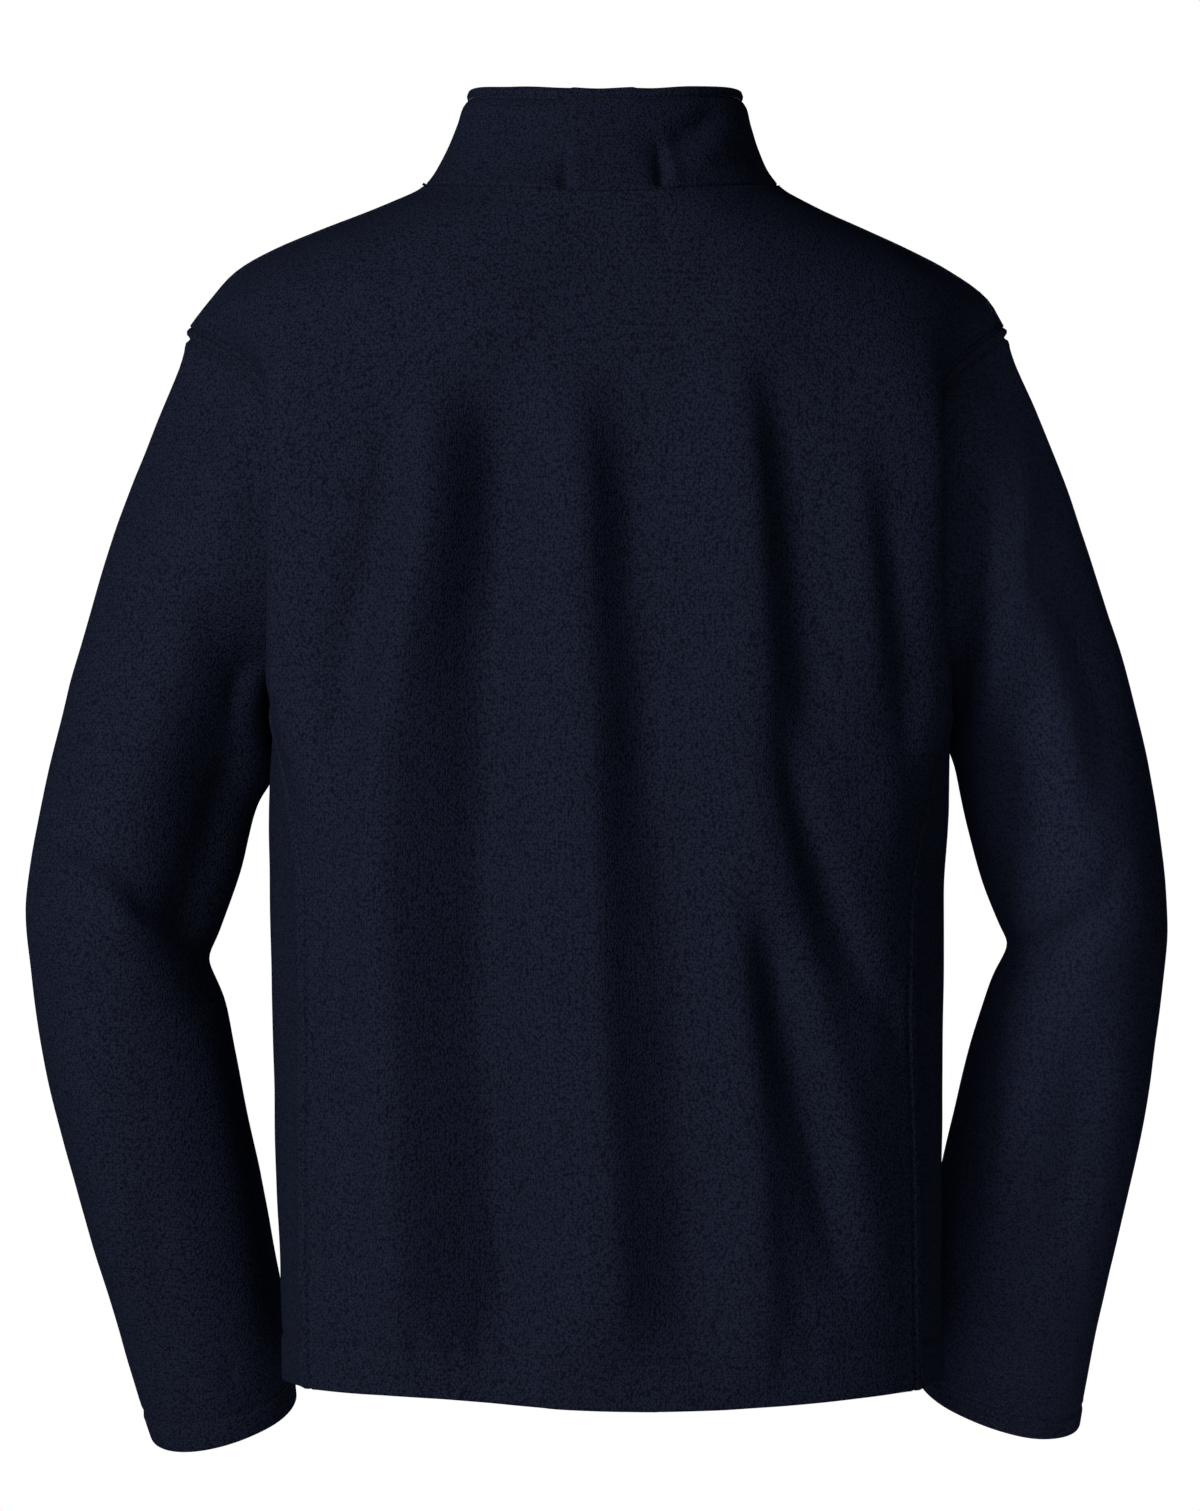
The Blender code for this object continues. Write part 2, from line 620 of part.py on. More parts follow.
def body_pieces():
    heights = ROWS_BELOW + ROWS_ARMHOLE + ROWS_SHOULDER
    low = len(ROWS_BELOW)
    high = low + len(ROWS_ARMHOLE)
    rows = np.array(heights, float)
    back = Piece("back_panel", back_grid(heights, BACK_STEPS))
    left = Piece("front_left", front_grid(heights, FRONT_STEPS, False))
    right = Piece("front_right", front_grid(heights, FRONT_STEPS, True))
    back.sew("first column", (low, high))
    back.sew("last column", (low, high))
    left.sew("last column", (low, high))
    right.sew("first column", (low, high))
    for piece in (back, left, right):
        piece.sew("last row")
        turned = rows < HEM_DEPTH + 1
        piece.wall[turned] = TURNED_WALL
        piece.wall[np.abs(piece.grid[..., 0]) < BESIDE_ZIP] = WALL
        out = np.repeat(hem_relief(rows, HEM_DEPTH)[:, None], piece.grid.shape[1], axis=1)
        piece.fold()
        sides = [border for border in piece.seams if "column" in border]
        piece.raise_by(out * seam_fade(piece.grid, sides, False) * clear_of_zip(piece.grid))
    return back, left, right, low, high


def armhole_loop(back, front, low, high, side):
    back_edge = back.grid[low : high + 1, 0 if side > 0 else -1]
    front_edge = front.grid[low : high + 1, -1 if side > 0 else 0]
    return np.concatenate([back_edge, front_edge[-2:0:-1]])


def sleeve_piece(name, loop, table, side):
    piece = Piece(name, sleeve_grid(loop, table, SLEEVE_STATIONS, side), sign=side, closed=True)
    piece.sew("first row", (len(loop) // 2,))
    stations = np.array(SLEEVE_STATIONS, float)
    from_edge = stations[-1] - stations
    piece.wall[from_edge < CUFF_DEPTH + 2] = TURNED_WALL
    piece.fold()
    piece.raise_by(np.repeat(hem_relief(from_edge, CUFF_DEPTH + 1)[:, None], len(loop), axis=1))
    return piece


def collar_piece(back, left, right):
    base = np.concatenate([left.grid[-1], back.grid[-1, 1:], right.grid[-1, 1:]])
    neck_left = left.grid.shape[1] - 1
    neck_right = neck_left + back.grid.shape[1] - 1
    piece = Piece("collar", collar_grid(base, COLLAR_ROWS, BACK_STEPS, FRONT_STEPS))
    piece.sew("first row", (neck_left, neck_right))
    piece.wall[1:] = COLLAR_WALL
    piece.wall[:, :3] = WALL
    piece.wall[:, -3:] = WALL
    out = np.array([row[1] for row in COLLAR_ROWS])
    piece.raise_by(np.repeat(out[:, None], len(base), axis=1) * clear_of_zip(piece.grid))
    return piece


class ZipPath:
    """The middle line of the zip, from the hem to the collar's top: y and z against its own length."""

    def __init__(self, left, collar):
        front = left.grid[:, 0, 1:]
        points = np.concatenate([front, collar.grid[1:, 0, 1:]])
        keep = [0]
        for i in range(1, len(points)):
            if np.linalg.norm(points[i] - points[keep[-1]]) > 9:
                keep.append(i)
        self.points = points[keep]
        gaps = np.linalg.norm(np.diff(self.points, axis=0), axis=1)
        self.knots = np.concatenate([[0], np.cumsum(gaps)])
        self.length = float(self.knots[-1])

    def frame(self, at):
        """A point of the line, the direction up it, and the direction out of the jacket."""
        y, z = spline(self.knots, self.points, [at])[0]
        ends = spline(self.knots, self.points, [max(at - 1, 0), min(at + 1, self.length)])
        dy, dz = unit(ends[1] - ends[0])
        return np.array([0, y, z]), np.array([0, dy, dz]), np.array([0, -dz, dy])

    def place(self, at, x, out, up=0.0):
        origin, rise, outward = self.frame(at)
        return origin + np.array([x, 0, 0]) + outward * out + rise * up


def tape(name, path, side, start, slider_at):
    """One half of the zip: a flat tape with its coil as a plain bar along its inner edge."""
    section = (
        # x, out
        (0.25, COIL_OUTER),
        (COIL_WIDTH, COIL_OUTER),
        (COIL_WIDTH, TAPE_OUTER),
        (TAPE_REACH, TAPE_OUTER),
        (TAPE_REACH, TAPE_OUTER - TAPE_THICKNESS),
        (COIL_WIDTH, TAPE_OUTER - TAPE_THICKNESS),
        (COIL_WIDTH, COIL_INNER),
        (0.25, COIL_INNER),
    )
    stops = list(np.linspace(start, slider_at - 12, 26)) + [slider_at - 4, slider_at, slider_at + 5]
    stops.append(path.length - 4)
    points = []
    for at in stops:
        aside = OPEN_COIL * smooth((at - slider_at + 6) / 6)
        for x, out in section:
            lean = aside if x < TAPE_REACH else 0.0
            points.append(path.place(at, side * (x + lean), out))
    count = len(section)
    faces = []
    for ring in range(len(stops) - 1):
        for k in range(count):
            a = ring * count + k
            b = ring * count + (k + 1) % count
            faces.append((a, b, b + count, a + count))
    last = (len(stops) - 1) * count
    faces.append(tuple(range(count - 1, -1, -1)))
    faces.append(tuple(range(last, last + count)))
    return outward_faces(add_object(name, points, faces))


def block(name, path, at, box):
    """A box in the zip's own directions: half width or x range, out range and up range."""
    x0, x1, out0, out1, up0, up1 = box
    origin, rise, outward = path.frame(at)
    points = []
    for up in (up0, up1):
        for x, out in ((x0, out0), (x1, out0), (x1, out1), (x0, out1)):
            points.append(origin + np.array([x, 0, 0]) + outward * out + rise * up)
    faces = [(0, 1, 2, 3), (7, 6, 5, 4), (0, 4, 5, 1), (1, 5, 6, 2), (2, 6, 7, 3), (3, 7, 4, 0)]
    made = add_object(name, points, faces)
    return made


def outward_faces(made):
    """Turns a closed mesh's faces outwards."""
    mesh = made.data
    volume = 0.0
    for face in mesh.polygons:
        corners = [mesh.vertices[v].co for v in face.vertices]
        for k in range(1, len(corners) - 1):
            volume += corners[0].dot(corners[k].cross(corners[k + 1]))
    if volume < 0:
        mesh.flip_normals()
    return made


def joined(name, path, at, boxes):
    """Blocks that overlap, joined into one solid."""
    whole = outward_faces(block(name, path, at, boxes[0]))
    for k, box in enumerate(boxes[1:]):
        other = outward_faces(block(f"{name}_tool_{k}", path, at, box))
        other.hide_render = True
        other.display_type = "WIRE"
        join = whole.modifiers.new(f"join_{k}", "BOOLEAN")
        join.operation = "UNION"
        join.solver = "EXACT"
        join.object = other
    return whole


def zip_pieces(left, collar):
    path = ZipPath(left, collar)
    slider_at = path.length - SLIDER_BELOW_TOP
    box_up = 8.0
    foot = 4.0
    tape("zip_tape_left", path, 1, foot + box_up + 0.3, slider_at)
    tape("zip_tape_right", path, -1, foot + box_up + 0.3, slider_at)
    outward_faces(block("zip_box", path, foot, (-4.4, 4.4, -6.0, -1.6, 0.0, box_up)))
    joined(
        "zip_slider",
        path,
        slider_at,
        (
            # x0, x1, out0, out1, up0, up1: front plate, back plate, wedge, arch
            (-4.2, 4.2, -2.0, -0.8, -5.0, 5.0),
            (-4.2, 4.2, -6.4, -5.2, -5.0, 5.0),
            (-0.8, 0.8, -5.4, -1.8, 0.6, 4.4),
            (-1.2, 1.2, -1.0, 1.6, 2.6, 3.6),
            (-1.2, 1.2, -1.0, 1.6, -3.6, -2.6),
            (-1.2, 1.2, 1.2, 2.2, -3.6, 3.6),
        ),
    )
    joined(
        "zip_pull",
        path,
        slider_at,
        (
            # the tab, its two arms and the pin that the slider's arch holds
            (-3.4, 3.4, -0.35, 0.85, -26.0, -4.6),
            (1.6, 3.4, -0.3, 0.8, -5.0, 0.55),
            (-3.4, -1.6, -0.3, 0.8, -5.0, 0.55),
            (-2.0, 2.0, -0.25, 0.75, -0.5, 0.5),
        ),
    )


def main():
    for old in list(bpy.data.objects):
        bpy.data.objects.remove(old)
    back, left, right, low, high = body_pieces()
    loop_left = armhole_loop(back, left, low, high, 1)
    loop_right = armhole_loop(back, right, low, high, -1)
    pieces = [
        back,
        left,
        right,
        sleeve_piece("sleeve_left", loop_left, SLEEVE_LEFT, 1),
        sleeve_piece("sleeve_right", loop_right, SLEEVE_RIGHT, -1),
        collar_piece(back, left, right),
    ]
    made = walls(pieces)
    for piece in pieces:
        add_cloth(piece, *made[piece.name])
    zip_pieces(left, pieces[-1])


main()
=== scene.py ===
"""Looks of the fleece zip jacket: finer cloth on the forms of its solids, with folds, sewing and zip.

Tables are in millimetres and the meshes in metres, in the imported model's frame: +Z up, the front faces
-Y and the wearer's left is +X. Heights are measured along the cloth, up from the hem.
"""

import math

import bpy
import numpy as np
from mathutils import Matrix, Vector

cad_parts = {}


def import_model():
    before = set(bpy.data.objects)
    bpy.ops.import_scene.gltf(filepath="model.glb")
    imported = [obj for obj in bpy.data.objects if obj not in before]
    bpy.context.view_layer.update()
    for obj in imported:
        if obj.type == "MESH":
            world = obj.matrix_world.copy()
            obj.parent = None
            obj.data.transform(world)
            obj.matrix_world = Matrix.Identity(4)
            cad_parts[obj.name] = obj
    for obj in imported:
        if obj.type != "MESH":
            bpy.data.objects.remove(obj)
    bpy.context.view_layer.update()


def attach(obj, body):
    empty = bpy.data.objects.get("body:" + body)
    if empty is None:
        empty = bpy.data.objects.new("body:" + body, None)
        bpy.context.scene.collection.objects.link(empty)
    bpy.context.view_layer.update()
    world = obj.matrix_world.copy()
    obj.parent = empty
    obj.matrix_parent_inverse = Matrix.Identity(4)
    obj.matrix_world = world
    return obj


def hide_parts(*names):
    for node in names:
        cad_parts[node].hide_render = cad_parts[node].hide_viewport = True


MM = 0.001
WALL = 3.0
COLLAR_WALL = 5.0
TURNED_WALL = 4.5
SEAM_GAP = 0.3
LONGEST_MITRE = 1.7

UNDERARM = 397
SHOULDER = 610
NECK = 700
ZIP_HALF_GAP = 5.5
BESIDE_ZIP = 30.0
HEM_DEPTH = 27.0
CUFF_DEPTH = 16.0
COLLAR_HEIGHT = 62.0
COLLAR_BEAD = 7.0
BESIDE_COLLAR_ZIP = 12.0
ZIP_STITCH = 6.5
SEAM_STITCH = 4.5
EDGE_SWELL = 0.7
EDGE_PULL = 1.1
SEAM_SWELL = 1.5
SEAM_PULL = 2.4
NECK_SWELL = 1.3

GRID = 4.0  # spacing of the grid's rows and columns
EDGE_ROWS = (0.35, 0.9, 1.6, 2.4)  # rows that round a turned edge off
STITCH_ROWS = (-2.4, -1.2, 0.0, 1.2, 2.4)  # rows over a line of stitching
SEAM_COLUMNS = (0.8, 1.8, 3.0, 3.9, 4.5, 5.1, 6.0, 7.5, 10.0)
NECK_ROWS = (0.7, 1.5, 2.5, 3.6, 5.0, 7.0)
ZIP_COLUMNS = (0.35, 0.9, 1.6, 2.6, 4.2, 5.6, 6.5, 7.4, 9.0)
BACK_SPANS = 120
FRONT_SPANS = 50
SMOOTHINGS = 6

# The back, wearer's left half. Its edge is the side seam, then the armhole, then the shoulder seam.
BACK = (
    # height, edge x, y, z, fold x, y, z, blade x, y, z, centre y, z
    (0, 166, 78, -677, 148, 98, -677, 86, 119, -679, 125, -685),
    (27, 167, 80, -650, 149, 100, -650, 87, 121, -652, 127, -658),
    (120, 168, 84, -557, 151, 104, -557, 90, 125, -559, 131, -565),
    (233, 168, 86, -444, 152, 105, -445, 92, 126, -446, 132, -450),
    (290, 170, 83, -388, 156, 104, -389, 94, 126, -390, 132, -393),
    (325, 175, 72, -352, 164, 101, -353, 96, 126, -355, 132, -357),
    (355, 182, 52, -322, 173, 95, -323, 98, 125, -325, 131, -327),
    (380, 187.5, 27, -298, 181, 88, -299, 100, 124, -301, 131, -302),
    (397, 182, 2, -283, 185, 85, -284, 101, 123, -285, 130, -286),
    (430, 174, 38, -262, 187, 89, -252, 102, 123, -254, 129, -256),
    (465, 171, 62, -225, 187.5, 94, -215, 104, 122, -222, 127, -224),
    (500, 171, 72, -185, 187.5, 97, -180, 106, 120, -187, 125, -191),
    (530, 174, 73, -150, 187.5, 97, -148, 108, 118, -155, 122, -160),
    (552, 181, 67, -126, 188, 93, -123, 109, 116, -131, 120, -137),
    (568, 192, 56, -110, 189, 87, -106, 110, 114, -113, 118, -119),
    (580, 203, 44, -101, 191, 80, -94, 111, 112, -99, 117, -105),
    (590, 214, 30, -93, 193, 74, -84, 111.5, 110, -88, 116, -94),
    (600, 226, 14, -86, 194, 67, -74, 112, 107, -77, 114, -84),
    (610, 235, 0, -80, 196, 58, -64, 112, 104, -66, 112, -74),
    (622, 224, -2, -65.5, 189, 55, -57, 107, 101.5, -59, 109.5, -66),
    (640, 208, -4, -48, 179, 51, -47.5, 99.5, 97.5, -48, 106, -54.5),
    (655, 188, -5.5, -36.5, 162, 49, -37, 90, 93.5, -37.5, 102.5, -44),
    (670, 161, -6.5, -25, 141, 47, -27.5, 79, 89.5, -27, 99, -33.5),
    (685, 131, -6.5, -13.5, 115, 45, -15.5, 67, 84.5, -17, 95.5, -22),
    (700, 100, -6, -0.5, 90, 42, -3, 54, 79, -7, 92, -10.5),
)

# The front, wearer's left, from its widest line at the side to its edge at the zip.
FRONT = (
    # height, side x, y, z, flank x, y, z, chest x, y, z, zip edge y, z
    (0, 182, 2, -679, 158, -76, -679, 88, -112, -681, -122, -684),
    (27, 182.5, 2, -652, 159, -78, -652, 89, -114, -654, -124, -657),
    (120, 186, 2, -559, 162, -81, -559, 91, -118, -561, -129, -564),
    (233, 189.3, 2, -446, 165, -83, -446, 92, -121, -448, -132, -450),
    (290, 190, 2, -390, 165, -84, -390, 92, -122, -391, -133, -393),
    (325, 190.5, 0, -354, 164, -84, -355, 92, -123, -356, -133, -357),
    (355, 189, -4, -324, 162, -85, -325, 91, -123, -326, -133, -327),
    (380, 186.5, -12, -299, 160, -86, -300, 90, -123, -301, -132, -302),
    (397, 179, -26, -284, 156, -88, -285, 89, -123, -286, -132, -286),
    (430, 165, -62, -258, 147, -92, -256, 87, -122, -255, -130, -255),
    (465, 157, -76, -226, 139, -95, -225, 84, -120, -223, -128, -222),
    (500, 155, -80, -190, 137, -96, -190, 82, -118, -190, -125, -190),
    (530, 160, -76, -157, 141, -91, -158, 83, -115, -160, -122, -163),
    (552, 171, -66, -132, 150, -82, -135, 84, -111, -142, -119, -148),
    (568, 182, -57, -115, 157, -75, -120, 85, -108, -130, -116, -137),
    (580, 192, -48, -105, 163, -69, -110, 85, -105, -122, -113, -129),
    (590, 201, -40, -97, 167, -64, -102, 85, -102, -115, -111, -123),
    (600, 209, -32, -89, 170, -59, -95, 85, -99, -109, -108, -117),
    (610, 216, -26, -81, 172, -55, -87, 84, -96, -103, -106, -112),
    (640, 190, -30, -52, 148, -56, -63, 75, -91, -84, -100, -98),
    (670, 147, -33, -31, 116, -57, -44, 62, -85, -68, -94, -85),
    (700, 96, -30, -8, 82, -54, -25, 48, -78, -51, -88, -72),
)

# The armhole on the front's side, from the underarm to the shoulder point.
ARMHOLE_FRONT = (
    # height, x, y, z
    (397, 182, 2, -283),
    (430, 174, -38, -262),
    (465, 168, -58, -228),
    (500, 166, -64, -190),
    (530, 170, -62, -155),
    (552, 180, -54, -130),
    (568, 192, -44, -113),
    (580, 204, -33, -102),
    (590, 215, -22, -94),
    (600, 226, -10, -86),
    (610, 235, 0, -80),
)

# How much wider the right half hangs than the left, at its widest line, and how much lower at its blade.
RIGHT_HALF = (
    # height, extra x, drop
    (0, 12, 5),
    (27, 10.5, 4.5),
    (120, 7.5, 1),
    (233, 5, 0),
    (290, 5.5, 0),
    (340, 7.5, 0),
    (380, 9, 0),
    (397, 7, 0),
    (440, 3, 0),
    (530, 2, 0),
    (580, -2, 0),
    (610, -5.6, 0),
    (622, -3.8, 0),
    (640, -10.7, 0),
    (655, -13.6, 0),
    (670, -13.3, 0),
    (685, -10.3, 0),
    (700, -3, 0),
)

# The collar's top edge, wearer's left half.
COLLAR_TOP = (
    # column, x, y, z
    ("zip edge", 5.5, -75, 5),
    ("chest", 36, -67.5, 20),
    ("flank", 59, -52, 38),
    ("side", 71.5, -35, 50),
    ("shoulder", 75.5, -18, 56),
    ("fold", 72.5, 8, 57),
    ("blade", 49.5, 37, 55),
    ("centre", 0, 52, 51.5),
)
# The collar's section: share of its height, how far it stands out.
COLLAR_SECTION = (
    # share, out
    (0.0, 0.0),
    (0.1, -0.4),
    (0.22, -1.2),
    (0.42, -1.8),
    (0.66, -1.2),
    (0.82, -0.4),
    (0.88, -1.2),
    (0.94, 0.3),
    (1.0, -1.0),
)

# Each sleeve: its outer and inner lines, the middle's y, half its depth front to back, and how far it
# still follows the armhole's own curve.
SLEEVE_LEFT = (
    # station, outer x, z, inner x, z, centre y, half depth, follow
    (0, 235, -80, 182, -283, 1, 72, 1.0),
    (18, 245, -104, 187.5, -283.5, 0, 69, 0.8),
    (40, 258, -136, 191, -288, -4, 67, 0.55),
    (65, 271.5, -171, 191.5, -296, -10, 66, 0.32),
    (92, 284, -206, 189.5, -307, -16, 66, 0.15),
    (120, 294, -240, 187.5, -321, -22, 66, 0.05),
    (150, 304, -276, 189.5, -337, -26, 66, 0),
    (182, 312.5, -310, 198, -352, -28, 65, 0),
    (213, 321, -344, 203.5, -370, -27, 64, 0),
    (240, 326.5, -373, 209, -393, -25, 63, 0),
    (262, 329.5, -395, 215, -411, -23, 62, 0),
    (280, 331, -412, 221, -428, -22, 61, 0),
    (295, 330.5, -428, 226.5, -440, -22, 60, 0),
    (310, 328.5, -446, 222.5, -451, -24, 60, 0),
    (330, 326.5, -468, 217, -465, -27, 59, 0),
    (360, 321.5, -502, 212, -493, -33, 58, 0),
    (395, 313, -540, 205, -530, -41, 57, 0),
    (435, 301, -587, 197.5, -568, -51, 55, 0),
    (475, 289.5, -629, 191, -606, -62, 53, 0),
    (515, 278, -671, 184.5, -646, -74, 50, 0),
    (545, 269.5, -701, 181, -680, -84, 47.5, 0),
    (565, 263, -722, 180, -700, -90, 46, 0),
)
SLEEVE_RIGHT = (
    # station, outer x, z, inner x, z, centre y, half depth, follow
    (0, 227, -80, 188.7, -283, 1, 72, 1.0),
    (18, 237, -101, 194, -283.5, 0, 69, 0.8),
    (40, 250.5, -131, 199, -288, -4, 67, 0.55),
    (65, 264.5, -167, 200, -296, -10, 66, 0.32),
    (92, 277, -203, 199, -306, -16, 66, 0.15),
    (120, 288.5, -237, 198, -318, -22, 66, 0.05),
    (150, 299.5, -273, 202, -331, -26, 66, 0),
    (182, 309, -308, 205.5, -347, -28, 65, 0),
    (213, 316.5, -345, 209.5, -366, -27, 64, 0),
    (240, 320.5, -373, 215.5, -388, -25, 63, 0),
    (262, 323, -395, 221.5, -406, -23, 62, 0),
    (280, 323.8, -412, 228, -423, -22, 61, 0),
    (295, 323.8, -428, 232.5, -433, -22, 60, 0),
    (310, 322.4, -446, 225.5, -447, -24, 60, 0),
    (330, 320.5, -467, 220, -462, -27, 59, 0),
    (360, 315.5, -508, 209.5, -497, -34, 57, 0),
    (395, 309.5, -546, 201, -533, -44, 55, 0),
    (435, 302, -587, 192.5, -575, -57, 53, 0),
    (475, 294, -628, 186.5, -613, -71, 50, 0),
    (515, 286.5, -668, 183, -648, -86, 46, 0),
    (545, 281.5, -700, 183.5, -674, -98, 43, 0),
    (565, 279.5, -716, 185, -690, -104, 41, 0),
)

